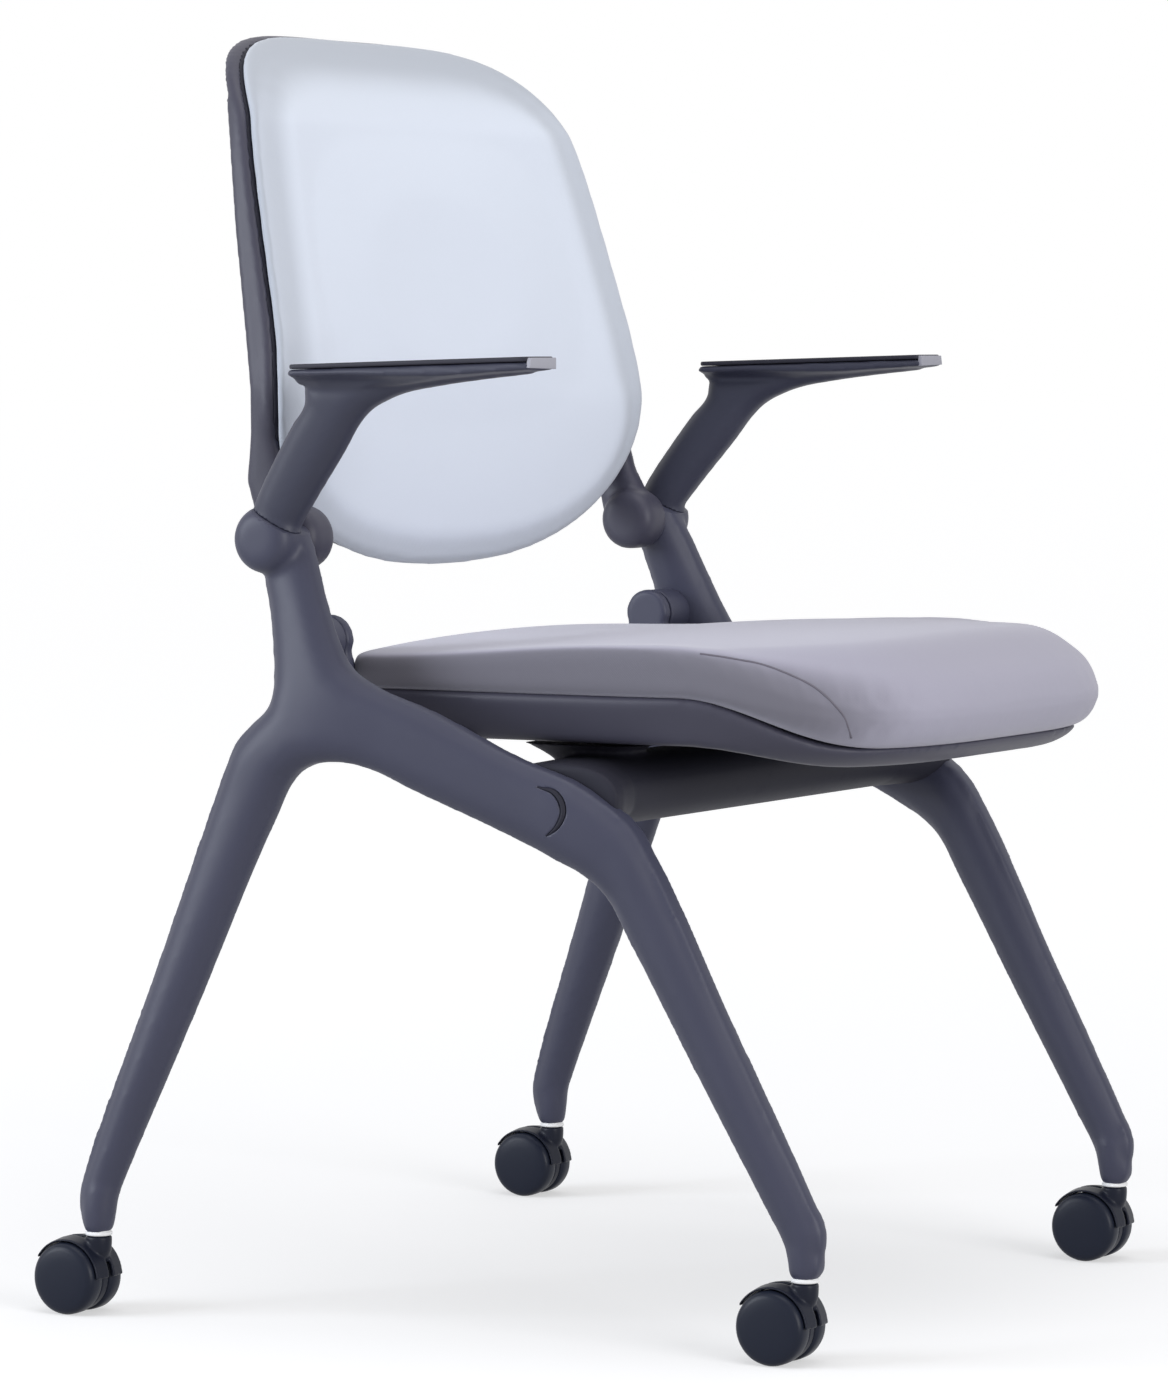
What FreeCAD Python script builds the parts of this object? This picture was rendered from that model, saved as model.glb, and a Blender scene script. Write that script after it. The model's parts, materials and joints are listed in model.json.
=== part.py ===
import FreeCAD, Part
import math
import os

V = FreeCAD.Vector

# Training chair on four casters: millimetres, +Z up, the sitter faces -Y, +X is the sitter's left.
# The origin is on the floor, in the middle of the chair.

# Footprint and heights of the frame
rear_foot_x = 311.5
front_foot_x = 244.0
foot_y = 257.3
foot_z = 57.0
hub_x = 256.0
hub_y = 140.8
hub_z = 536.2
pivot_y = 122.0
pivot_z = 466.0

# Casters
wheel_d = 50.0
wheel_w = 15.0
wheel_gap = 9.0
caster_trail = 18.0
axle_d = 6.0
stem_d = 11.0
stem_len = 22.0
stem_ring_d = 16.0
stem_ring_t = 2.5
swivel_gap = 0.5
hood_web_clear = 0.6
hood_neck_d = 22.0
hood_web_d = 44.0
hood_wall = 2.5
fender_half_w = 13.0
fender_low_z = 38.0
wheel_clear = 1.0
wheel_dome = 1.5
wheel_edge_r = 3.0
wheel_flat_r = 6.0
wheel_skin = 2.0
wheel_bore_clear = 0.05
stem_seat = 11.0
stem_hold = 0.02
axle_hold = 0.02
axle_end_gap = 0.5
swivel_clear = 0.05
socket_d = 19.0
socket_h = 26.0
collar_d = 22.0
collar_t = 2.4

# Legs and rails, as section sizes across the chair (w) and along the side view (d)
leg_w = 26.0
leg_d = 35.0
leg_top_w = 30.0
leg_top_d = 43.0
toe_w = 18.0
toe_d = 18.0
toe_in = 2.5
rail_w = 29.0
rail_d = 46.0
stem_top_w = 27.0
stem_top_d = 34.0
stem_low_w = 29.0
stem_low_d = 50.0
knee_w = 32.0
knee_d = 47.0
front_leg_w = 26.0
front_leg_d = 36.0
section_round = 0.42

# Centre lines of the side frame: node where stem, rear leg and rail meet, and the knee
node_x = 280.0
node_y = 124.0
node_z = 402.0
rail_end_x = 258.0
rail_end_y = -79.0
rail_end_z = 360.0
knee_x = 250.0
knee_y = -121.0
knee_z = 337.0
toe_rise = 32.0
tenon_w = 9.0
tenon_h = 28.0
tenon_len = 36.0
tenon_root = 6.0
tenon_offset = 5.0
tongue_inner = 3.0
bolt_clear = 0.1
bolt_past_tenon = 2.0
bolt_shares = (0.3, 0.75)
tongue_r = 16.0
tongue_gap = 0.3
web_t = 16.0
web_x = 279.0
frame_bolt_d = 6.0
frame_bolt_head_d = 11.0
frame_bolt_head_h = 4.0

# Arm and back hub
hub_d = 45.0
hub_len = 57.0
knuckle_len = 24.0
knuckle_gap = 0.5
knuckle_room = 0.6
knuckle_wall = 3.5
shaft_d = 12.0
shaft_clear = 0.05
shaft_flange_d = 20.0
shaft_flange_t = 2.5
cap_t = 3.0
spring_d = 28.0
spring_len = 12.0
spring_clear = 0.5

# Armrest
arm_x = 287.6
arm_tip_y = -86.0
arm_rear_y = 96.4
arm_top_z = 655.2
arm_rise = 5.6
arm_root_h = 24.0
arm_pad_w = 49.0
arm_corner_r = 9.0
arm_pad_edge_r = 2.5
arm_pad_gap = 0.2
arm_pad_t = 8.0
arm_beam_w = 40.0
arm_beam_t = 16.0
arm_beam_tip_t = 3.0
arm_web_t = 18.0
arm_tip_len = 5.0
stalk_w = 27.0
stalk_d = 34.0
stalk_top_d = 42.0
stalk_lean = 32.5
arm_joint_gap = 0.2
spigot_d = 16.0
spigot_len = 14.0
spigot_clear = 0.1
arm_screw_d = 4.0
arm_screw_len = 9.0
arm_screw_sunk = 3.0

# Seat hinge
boss_d = 57.0
boss_face_x = 231.5
pin_hold_len = 18.0
pin_d = 10.0
pin_head_d = 16.0
pin_head_t = 3.0
bush_d = 14.0
bush_flange_d = 22.0
bush_flange_t = 1.5
hinge_t = 5.0
hinge_eye_d = 26.0
hinge_gap = 0.5
hinge_foot_t = 4.0
hinge_foot_rear = 92.0
hinge_seat_gap = 0.2
hinge_pad_len = 80.0
hinge_pad_w = 34.0
pin_clear = 0.05

# Seat
seat_half_w = 228.0
seat_rear_y = 98.0
seat_rear_bow = 16.0
seat_nose_y = -300.3
seat_widest_y = -60.0
seat_corner_n = 2.4
seat_nose_n = 3.2
seat_side_z = 432.0
seat_front_z = 399.0
seat_dip_rear_y = -150.0
seat_dip_front_y = -268.0
shell_side_h = 31.0
shell_front_h = 15.0
shell_wall = 3.5
shell_inset = 10.0
board_t = 8.0
board_clear = 0.5
cushion_rear_z = 456.0
cushion_top_z = 468.0
cushion_nose_z = 447.0
cushion_crown = 8.0
cushion_edge_in = 9.0
cushion_side_bulge = 3.0
cushion_gap = 0.3
cushion_nose_power = 7.0
seat_rear_n = 10.0
seat_end_half = 40.0
nose_overhang = 11.0
shell_floor = 3.0
rib_t = 3.0
rib_count = 3
rib_pitch_x = 110.0
rib_pitch_y = 110.0
rib_first_y = -190.0
seat_column_d = 14.0
seat_screw_d = 5.0
seat_screw_head_d = 10.0
seat_screw_head_h = 3.0

# Crossbeam and seat rests
beam_y = -62.0
beam_z = 366.0
beam_w = 84.0
beam_h = 46.0
beam_flare_w = 110.0
beam_end_x = 242.0
beam_gap = 0.2
beam_tenon_d = 20.0
beam_tenon_len = 9.0
beam_tenon_y = -34.0
beam_tenon_z = 372.0
rest_x = 150.0
rest_w = 36.0
rest_len = 62.0
rest_forward = 8.0
rest_corner_r = 5.0
buffer_d = 22.0
buffer_t = 5.0
buffer_gap = 0.3

# Backrest
back_half_w = 253.0
back_bottom_z = 508.5
back_top_z = 890.0
back_edge_y = 145.3
back_ref_z = 630.0
back_lean = 0.213
back_bow = 31.0
back_taper = 0.143
back_roll_z = 825.0
back_end_half = 55.0
back_rib_count = 3
back_rib_pitch = 120.0
back_screw_x = 110.0
back_screw_heights = (600.0, 790.0)
back_corner_power = 8.0
back_corner_root = 4.0
back_low_power = 2.1
back_roll = 22.0
back_lumbar = 20.0
pad_edge_t = 11.0
pad_face_t = 21.0
pad_crown_t = 25.0
pad_bevel_w = 30.0
pad_edge_in = 4.0
pad_end_share = 0.4
pad_gap = 0.3
tray_depth = 12.0
tray_wall = 4.0
tray_inset = 1.0
tray_end_in = 2.0
back_board_t = 7.0
upright_w = 15.0
upright_low_d = 40.0
upright_mid_d = 26.0
upright_top_d = 13.0
back_screw_d = 5.0
back_screw_head_d = 10.0
back_screw_head_h = 3.0


def mirrored(shape):
    """The same piece for the other side of the chair."""
    return shape.mirror(V(0, 0, 0), V(1, 0, 0))


def fused(shapes):
    """One solid from several that overlap."""
    body = shapes[0].multiFuse(shapes[1:])
    return body.removeSplitter()


def across_x(x0, x1, y, z, diameter):
    """A round bar along X."""
    return Part.makeCylinder(diameter / 2.0, x1 - x0, V(x0, y, z), V(1, 0, 0))


def up_z(x, y, z0, z1, diameter):
    """A round bar along Z."""
    return Part.makeCylinder(diameter / 2.0, z1 - z0, V(x, y, z0), V(0, 0, 1))


def rounded_section(centre, along, across, half_w, half_d):
    """A rounded oblong wire at a centre: half_w along the across direction, half_d square to both."""
    along = V(along).normalize()
    side = V(across) - along * V(across).dot(along)
    side.normalize()
    deep = along.cross(side)
    r = 2.0 * section_round * min(half_w, half_d)
    k = r * (1.0 - math.sqrt(0.5))

    def at(u, v):
        return V(centre) + side * u + deep * v

    edges = []
    corners = [(1, 1), (-1, 1), (-1, -1), (1, -1)]
    for sx, sy in corners:
        near_side = at(sx * half_w, sy * (half_d - r))
        mid = at(sx * (half_w - k), sy * (half_d - k))
        near_deep = at(sx * (half_w - r), sy * half_d)
        pts = [near_side, mid, near_deep] if sx * sy > 0 else [near_deep, mid, near_side]
        edges.append(Part.Arc(*pts).toShape())
    outline = []
    for i, arc in enumerate(edges):
        nxt = edges[(i + 1) % 4]
        outline.append(arc)
        outline.append(Part.LineSegment(arc.lastVertex(True).Point, nxt.firstVertex(True).Point).toShape())
    return Part.Wire(outline)


def limb(stations):
    """A smooth oval bar through (centre, along, width, depth) stations."""
    wires = []
    for centre, along, width, depth in stations:
        wires.append(rounded_section(V(*centre), V(*along), V(1, 0, 0), width / 2.0, depth / 2.0))
    return Part.makeLoft(wires, True, False)


def between(a, b, t):
    """The point a share t of the way from a to b."""
    return tuple(p + (q - p) * t for p, q in zip(a, b))


def direction(a, b):
    """Unit vector from a to b."""
    step = V(*b) - V(*a)
    step.normalize()
    return (step.x, step.y, step.z)


def side_profile(points, x0, x1):
    """A plate across X from a closed outline in Y and Z; a point with a third value is passed by an arc."""
    edges = []
    n = len(points)
    i = 0
    while i < n:
        y0, z0 = points[i][:2]
        nxt = points[(i + 1) % n]
        if len(nxt) == 3:
            end = points[(i + 2) % n]
            arc = Part.Arc(V(x0, y0, z0), V(x0, nxt[0], nxt[1]), V(x0, end[0], end[1]))
            edges.append(arc.toShape())
            i += 2
        else:
            edges.append(Part.LineSegment(V(x0, y0, z0), V(x0, nxt[0], nxt[1])).toShape())
            i += 1
    return Part.Face(Part.Wire(edges)).extrude(V(x1 - x0, 0, 0))


def caster_stem(x, y):
    """Steel pin that turns with the caster, with the ring that the leg stands on."""
    ring_top = foot_z - collar_t - swivel_gap
    pin = up_z(x, y, ring_top - stem_seat, foot_z + stem_len, stem_d)
    ring = up_z(x, y, ring_top - stem_ring_t, ring_top, stem_ring_d)
    return fused([pin, ring])


def caster_hood(x, y):
    """Web between the wheels, neck under the leg and fender over both wheels."""
    r = wheel_d / 2.0
    ay = y + caster_trail
    top = foot_z - collar_t - swivel_gap
    web_half = wheel_gap / 2.0 - hood_web_clear
    inner_r = r + wheel_clear
    outer_r = inner_r + hood_wall
    reach = 2.0 * outer_r
    web = across_x(x - web_half, x + web_half, ay, r, hood_web_d)
    fender = across_x(x - fender_half_w, x + fender_half_w, ay, r, 2.0 * outer_r)
    fender = fender.cut(across_x(x - fender_half_w, x - web_half, ay, r, 2.0 * inner_r))
    fender = fender.cut(across_x(x + web_half, x + fender_half_w, ay, r, 2.0 * inner_r))
    under = Part.makeBox(2.0 * reach, 2.0 * reach, reach + fender_low_z, V(x - reach, ay - reach, -reach))
    fender = fender.cut(under)
    neck = up_z(x, y, fender_low_z, top, hood_neck_d)
    for side in (-1, 1):
        near = x + side * web_half
        far = x + side * (web_half + 2.0 * wheel_w)
        neck = neck.cut(across_x(min(near, far), max(near, far), ay, r, 2.0 * inner_r))
    body = fused([web, fender, neck])
    body = body.cut(across_x(x - reach, x + reach, ay, r, axle_d + 2.0 * axle_hold))
    ring_bottom = top - stem_ring_t - stem_hold
    body = body.cut(up_z(x, y, top - stem_seat - stem_hold, top + 1.0, stem_d + 2.0 * stem_hold))
    return body.cut(up_z(x, y, ring_bottom, top + 1.0, stem_ring_d + 2.0 * stem_hold))


def caster_axle(x, y):
    """Steel pin through the web into both wheels."""
    half = wheel_gap / 2.0 + wheel_w - wheel_skin - axle_end_gap
    return across_x(x - half, x + half, y + caster_trail, wheel_d / 2.0, axle_d)


def caster_wheel(x, y, side):
    """One wheel of the pair: tread with rounded shoulders, domed closed face, blind bore."""
    r = wheel_d / 2.0
    e = wheel_edge_r
    k = e * (1.0 - math.sqrt(0.5))
    w = wheel_w - wheel_dome
    bore = axle_d / 2.0 + wheel_bore_clear
    shoulder_in = Part.Arc(V(0, 0, r - e), V(k, 0, r - k), V(e, 0, r))
    shoulder_out = Part.Arc(V(w - e, 0, r), V(w - k, 0, r - k), V(w, 0, r - e))
    dome = Part.Arc(V(w, 0, r - e), V(w + 0.75 * wheel_dome, 0, r / 2.0), V(wheel_w, 0, wheel_flat_r))
    edges = [
        Part.LineSegment(V(0, 0, bore), V(0, 0, r - e)).toShape(),
        shoulder_in.toShape(),
        Part.LineSegment(V(e, 0, r), V(w - e, 0, r)).toShape(),
        shoulder_out.toShape(),
        dome.toShape(),
        Part.LineSegment(V(wheel_w, 0, wheel_flat_r), V(wheel_w, 0, bore)).toShape(),
        Part.LineSegment(V(wheel_w, 0, bore), V(0, 0, bore)).toShape(),
    ]
    wheel = Part.Face(Part.Wire(edges)).revolve(V(0, 0, 0), V(1, 0, 0), 360)
    skin = across_x(wheel_w - wheel_skin, wheel_w, 0.0, 0.0, 2.0 * bore)
    wheel = fused([wheel, skin])
    if side < 0:
        wheel = mirrored(wheel)
    wheel.translate(V(x + side * wheel_gap / 2.0, y + caster_trail, r))
    return wheel


def caster_socket(x, y):
    """Nylon sleeve in the leg's end, with the pale collar that shows above the caster."""
    sleeve = up_z(x, y, foot_z, foot_z + socket_h, socket_d)
    collar = up_z(x, y, foot_z - collar_t, foot_z, collar_d)
    body = fused([sleeve, collar])
    bore_d = stem_d + 2.0 * swivel_clear
    return body.cut(up_z(x, y, foot_z - collar_t - 1.0, foot_z + stem_len + 1.0, bore_d))


def rear_leg_stations():
    """From the caster end up to the node."""
    foot = (rear_foot_x, foot_y, foot_z)
    ankle = (rear_foot_x - toe_in, foot_y, foot_z + toe_rise)
    node = (node_x, node_y, node_z)
    up = direction(ankle, node)
    mid_w = (toe_w + leg_w) / 2.0
    mid_d = (toe_d + leg_d) / 2.0
    return [
        (foot, (0, 0, 1), toe_w, toe_d),
        (between(foot, ankle, 0.4), (0, 0, 1), mid_w, mid_d * 0.9),
        (ankle, between((0, 0, 1), up, 0.6), leg_w, leg_d * 0.93),
        (between(ankle, node, 0.12), up, leg_w, leg_d),
        (between(ankle, node, 0.7), up, leg_w, leg_d),
        (between(ankle, node, 0.93), up, leg_top_w, leg_top_d),
        (between(ankle, node, 1.02), up, leg_top_w, leg_top_d),
    ]


def stem_stations():
    """From the node up to the hub."""
    top = (hub_x + 5.0, hub_y - 9.8, hub_z - 6.0)
    low = (node_x + 1.0, node_y - 16.0, node_z)
    up = (0.0, 0.15, 1.0)
    return [
        (low, up, stem_low_w, stem_low_d),
        (between(low, top, 0.25), up, stem_low_w, stem_low_d * 0.96),
        (between(low, top, 0.55), up, (stem_low_w + stem_top_w) / 2.0, (stem_low_d + stem_top_d) / 2.0),
        (between(low, top, 0.78), up, stem_top_w, stem_top_d * 1.04),
        (top, up, stem_top_w, stem_top_d),
    ]


def rail_stations():
    """From the node forwards and down to the joint with the front leg."""
    rear = (node_x + 1.0, node_y - 12.0, node_z + 26.0)
    front = (rail_end_x, rail_end_y, rail_end_z)
    along = direction(rear, front)
    return [
        (rear, along, rail_w, rail_d),
        (between(rear, front, 0.4), along, rail_w, rail_d + 2.0),
        (front, along, rail_w, rail_d),
    ]


def front_leg_stations():
    """From the joint with the rail, over the knee, down to the caster end."""
    split = (rail_end_x, rail_end_y, rail_end_z)
    knee = (knee_x, knee_y, knee_z)
    ankle = (front_foot_x - toe_in / 2.0, -foot_y, foot_z + toe_rise)
    foot = (front_foot_x, -foot_y, foot_z)
    rear = (node_x + 1.0, node_y - 12.0, node_z + 26.0)
    along = direction(rear, split)
    shank = (knee_x - 1.0, knee_y - 17.0, knee_z - 30.0)
    down = direction(shank, ankle)
    bend = between(along, down, 0.5)
    mid_w = (toe_w + front_leg_w) / 2.0
    mid_d = (toe_d + front_leg_d) / 2.0
    return [
        (split, along, rail_w, rail_d),
        (between(split, knee, 0.45), between(along, down, 0.12), rail_w + 1.0, rail_d + 1.0),
        (knee, bend, knee_w, knee_d),
        (shank, between(along, down, 0.93), knee_w - 1.0, (knee_d + front_leg_d) / 2.0 + 2.0),
        (between(shank, ankle, 0.22), down, front_leg_w + 1.0, front_leg_d + 1.0),
        (between(shank, ankle, 0.55), down, front_leg_w, front_leg_d),
        (between(shank, ankle, 0.93), down, front_leg_w, front_leg_d),
        (ankle, between((0, 0, -1), down, 0.6), front_leg_w, front_leg_d * 0.93),
        (between(foot, ankle, 0.4), (0, 0, -1), mid_w, mid_d * 0.9),
        (foot, (0, 0, -1), toe_w, toe_d),
    ]


def node_web():
    """Thin web that rounds the corners where stem, rear leg and rail meet."""
    front = (node_y - 39.0, node_z + 60.0)
    low_front = (node_y - 85.0, node_z + 28.0)
    rail_top = (node_y - 104.0, node_z + 16.0)
    rail_low = (node_y - 102.0, node_z - 33.0)
    arch_front = (node_y - 60.0, node_z - 15.5)
    arch_top = (node_y - 38.0, node_z - 12.0)
    arch_rear = (node_y - 18.0, node_z - 23.0)
    leg_front = (node_y + 6.0, node_z - 62.0)
    leg_rear = (node_y + 52.0, node_z - 56.0)
    shoulder = (node_y + 41.0, node_z - 13.0)
    notch = (node_y + 13.0, node_z + 20.0)
    stem_rear = (node_y + 13.0, node_z + 60.0)
    outline = [
        stem_rear,
        front,
        (node_y - 55.0, node_z + 41.0, 1),
        low_front,
        rail_top,
        rail_low,
        arch_front,
        (arch_top[0], arch_top[1], 1),
        arch_rear,
        leg_front,
        leg_rear,
        (shoulder[0], shoulder[1], 1),
        notch,
    ]
    return side_profile(outline, web_x - web_t / 2.0, web_x + web_t / 2.0)


def rail_axis():
    """Unit vector down the rail."""
    return direction((node_x + 1.0, node_y - 12.0, node_z + 26.0), (rail_end_x, rail_end_y, rail_end_z))


def rail_joint_box(grow):
    """Tenon of the front leg inside the rail, grown by a clearance."""
    along = V(*rail_axis())
    length = tenon_len + tenon_root + grow
    box = Part.makeBox(tenon_w + 2.0 * grow, length, tenon_h + 2.0 * grow)
    box.translate(V(-tenon_w / 2.0 - grow, -tenon_root, -tenon_h / 2.0 - grow))
    slope = math.degrees(math.atan2(-along.z, -along.y))
    skew = math.degrees(math.atan2(along.x, -along.y))
    box.rotate(V(0, 0, 0), V(1, 0, 0), -slope)
    box.rotate(V(0, 0, 0), V(0, 0, 1), skew)
    box.translate(V(rail_end_x - tenon_offset, rail_end_y, rail_end_z))
    return box


def rail_bolts(grow):
    """Two bolts from the inner side through rail and tenon."""
    along = V(*rail_axis())
    bolts = []
    for k in bolt_shares:
        place = V(rail_end_x, rail_end_y, rail_end_z) - along * (tenon_len * k)
        head_x = place.x - rail_w / 2.0
        end_x = place.x + tenon_w / 2.0 + bolt_past_tenon
        seat_end_x = head_x + frame_bolt_head_h
        shank = across_x(head_x, end_x, place.y, place.z, frame_bolt_d + 2.0 * grow)
        head = across_x(head_x - grow, seat_end_x, place.y, place.z, frame_bolt_head_d + 2.0 * grow)
        bolts.append(fused([shank, head]))
    return bolts


def beam_stations():
    """The crossbeam from one rail to the other, wider where it meets them."""
    flare_y = beam_y - (beam_flare_w - beam_w) / 2.0
    return [
        (-beam_end_x, flare_y, beam_flare_w),
        (-0.8 * beam_end_x, beam_y, beam_w),
        (0.0, beam_y, beam_w),
        (0.8 * beam_end_x, beam_y, beam_w),
        (beam_end_x, flare_y, beam_flare_w),
    ]


def crossbeam_body(grow):
    """Oval beam across the chair, grown by a clearance."""
    wires = []
    half_h = beam_h / 2.0 + grow
    for x, y, width in beam_stations():
        wires.append(rounded_section(V(x, y, beam_z), V(1, 0, 0), V(0, 1, 0), width / 2.0 + grow, half_h))
    return Part.makeLoft(wires, True, False)


def hub_bulb():
    """Outer half of the hub, which is the top of the stem."""
    x0 = hub_x + hub_len / 2.0 - cap_t
    return across_x(hub_seam_x() + knuckle_gap / 2.0, x0, hub_y, hub_z, hub_d)


def hub_seam_x():
    """Middle of the gap between the back's knuckle and the stem's bulb."""
    return hub_x - hub_len / 2.0 + knuckle_len + knuckle_gap / 2.0


def rail_tongue(grow):
    """Round end of the rail that lies over the front leg's socket, grown by a clearance."""
    x0 = rail_end_x + tongue_inner - grow
    return across_x(x0, rail_end_x + rail_w, rail_end_y, rail_end_z, 2.0 * (tongue_r + grow))


def rear_frame():
    """Stem, rear leg and rail of one side, left."""
    body = fused([limb(rear_leg_stations()), limb(stem_stations()), limb(rail_stations()), node_web()])
    room = across_x(0.0, hub_seam_x() + knuckle_gap / 2.0, hub_y, hub_z, hub_d + 2.0 * knuckle_room)
    body = body.cut(room)
    boss = across_x(boss_face_x, pivot_x_end(), pivot_y, pivot_z, boss_d)
    boss = boss.cut(across_x(0.0, hub_seam_x(), hub_y, hub_z, hub_d + 2.0 * knuckle_room))
    tongue = rail_tongue(0.0).common(limb(front_leg_stations()))
    body = fused([body, hub_bulb(), boss, tongue, arm_socket_root()])
    body = body.cut(rail_joint_box(tongue_gap / 2.0))
    for bolt in rail_bolts(bolt_clear):
        body = body.cut(bolt)
    body = body.cut(across_x(0.0, 2.0 * hub_x, hub_y, hub_z, shaft_d + 2.0 * shaft_clear))
    cap_x = hub_x + hub_len / 2.0 - cap_t
    body = body.cut(across_x(cap_x - shaft_flange_t - 0.1, cap_x + 1.0, hub_y, hub_z, shaft_flange_d + 0.4))
    body = body.cut(across_x(cap_x, cap_x + 4.0 * cap_t, hub_y, hub_z, hub_d + 0.4))
    pin_end_x = boss_face_x + pin_hold_len + 0.5
    body = body.cut(across_x(boss_face_x - 1.0, pin_end_x, pivot_y, pivot_z, pin_d + 2.0 * pin_clear))
    body = body.cut(socket_room(rear_foot_x, foot_y))
    body = body.cut(arm_neck_end())
    body = body.cut(arm_spigot(spigot_clear))
    body = body.cut(arm_lock_screw(bolt_clear))
    return body.cut(beam_tenon(bolt_clear))


def socket_room(x, y):
    """Hole in a leg's end for its nylon sleeve."""
    return up_z(x, y, foot_z - 1.0, foot_z + socket_h + 0.5, socket_d + 0.1)


def pivot_x_end():
    """Where the seat boss ends inside the stem."""
    return node_x - 12.0


def front_leg():
    """Knee and front leg of one side, left."""
    body = limb(front_leg_stations()).cut(rail_tongue(tongue_gap))
    body = fused([body, rail_joint_box(0.0)])
    for bolt in rail_bolts(bolt_clear):
        body = body.cut(bolt)
    body = body.cut(beam_tenon(bolt_clear))
    return body.cut(socket_room(front_foot_x, -foot_y))


def beam_tenon(grow):
    """Round tenon of the crossbeam inside the rail."""
    x0 = beam_end_x - 4.0
    x1 = beam_end_x + beam_tenon_len + grow
    return across_x(x0, x1, beam_tenon_y, beam_tenon_z, beam_tenon_d + 2.0 * grow)


def crossbeam():
    """The beam with its two tenons, trimmed to the rails."""
    body = crossbeam_body(0.0)
    play = 2.0 * beam_gap
    for stations in (rail_stations(), front_leg_stations()):
        trim = limb([(centre, along, w + play, d + play) for centre, along, w, d in stations])
        body = body.cut(trim)
        body = body.cut(mirrored(trim))
    tenon = beam_tenon(0.0)
    return fused([body, tenon, mirrored(tenon)])


def seat_rest():
    """Saddle on the beam under the left side of the seat."""
    top = seat_side_z - shell_side_h - buffer_gap - buffer_t
    corner = V(rest_x - rest_w / 2.0, beam_y - rest_len / 2.0 - rest_forward, beam_z)
    block = Part.makeBox(rest_w, rest_len, top - beam_z, corner)
    upright = [e for e in block.Edges if abs(e.tangentAt(e.FirstParameter).z) > 0.9]
    block = block.makeFillet(rest_corner_r, upright)
    return block.cut(crossbeam_body(0.0))


def seat_rest_buffer():
    """Rubber pad that the seat comes down on."""
    top = seat_side_z - shell_side_h - buffer_gap
    return up_z(rest_x, beam_y, top - buffer_t, top, buffer_d)


def hub_shaft():
    """Shaft of the back's hinge, held in the bulb by its flange."""
    cap_x = hub_x + hub_len / 2.0 - cap_t
    bar = across_x(hub_x - hub_len / 2.0 + knuckle_wall + 0.5, cap_x - 0.1, hub_y, hub_z, shaft_d)
    flange = across_x(cap_x - shaft_flange_t - 0.1, cap_x - 0.1, hub_y, hub_z, shaft_flange_d)
    return fused([bar, flange])


def hub_cap():
    """Domed cover of the hub's outer end."""
    x1 = hub_x + hub_len / 2.0
    disc = across_x(x1 - cap_t, x1, hub_y, hub_z, hub_d)
    return disc.makeFillet(cap_t * 0.8, [e for e in disc.Edges if e.BoundBox.XMin > x1 - 0.01])


def tilt_spring():
    """Torsion spring round the shaft inside the back's knuckle."""
    x1 = hub_seam_x() - knuckle_gap / 2.0
    tube = across_x(x1 - spring_len, x1, hub_y, hub_z, spring_d)
    return tube.cut(across_x(x1 - spring_len - 1.0, x1 + 1.0, hub_y, hub_z, shaft_d + 2.0 * spring_clear))


def seat_pin():
    """Pivot pin of the seat, fixed in the stem's boss."""
    x0 = boss_face_x - hinge_gap - bush_flange_t - hinge_t - hinge_gap
    bar = across_x(x0 - 1.0, boss_face_x + pin_hold_len, pivot_y, pivot_z, pin_d)
    head = across_x(x0 - pin_head_t, x0, pivot_y, pivot_z, pin_head_d)
    return fused([bar, head])


def seat_bush():
    """Nylon bush in the seat's hinge plate, with a flange against the boss."""
    x1 = boss_face_x - hinge_gap
    sleeve = across_x(x1 - bush_flange_t - hinge_t, x1, pivot_y, pivot_z, bush_d)
    flange = across_x(x1 - bush_flange_t, x1, pivot_y, pivot_z, bush_flange_d)
    return fused([sleeve, flange]).cut(across_x(0.0, hub_x, pivot_y, pivot_z, pin_d + 2.0 * pin_clear))


def hinge_x():
    """Inner face of the hinge plate."""
    return boss_face_x - hinge_gap - bush_flange_t - hinge_t


def shell_bottom_z():
    """Underside of the seat shell along the sides."""
    return seat_side_z - shell_side_h


def seat_hinge():
    """Steel hinge: an eye round the pivot, an arm behind the seat and a foot under the shell."""
    x0 = hinge_x()
    low = shell_bottom_z() - hinge_foot_t - hinge_seat_gap
    eye = across_x(x0, x0 + hinge_t, pivot_y, pivot_z, hinge_eye_d)
    rear = pivot_y + hinge_eye_d / 2.0
    arm = side_profile(
        [
            (rear, pivot_z),
            (rear, low + 14.0),
            (rear - 14.0, low),
            (hinge_foot_rear - hinge_pad_len, low),
            (hinge_foot_rear - hinge_pad_len, low + hinge_foot_t),
            (hinge_foot_rear, low + hinge_foot_t),
            (rear - hinge_eye_d, low + 16.0),
            (rear - hinge_eye_d, pivot_z),
        ],
        x0,
        x0 + hinge_t,
    )
    corner = V(x0 + hinge_t - hinge_pad_w, hinge_foot_rear - hinge_pad_len, low)
    foot = Part.makeBox(hinge_pad_w, hinge_pad_len - 4.0, hinge_foot_t, corner)
    body = fused([eye, arm, foot])
    body = body.cut(across_x(x0 - 1.0, x0 + hinge_t + 1.0, pivot_y, pivot_z, bush_d + 0.04))
    for y in seat_screw_places():
        body = body.cut(up_z(seat_screw_x(), y, low - 1.0, low + hinge_foot_t + 1.0, seat_screw_d + 0.4))
    return body


def seat_screw_x():
    """How far out the hinge's screws stand."""
    return hinge_x() + hinge_t - hinge_pad_w / 2.0 - 3.0


def seat_screw_places():
    """Where along the seat the hinge's screws stand."""
    front = hinge_foot_rear - hinge_pad_len
    return [front + 14.0, front + hinge_pad_len - 24.0]


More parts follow.
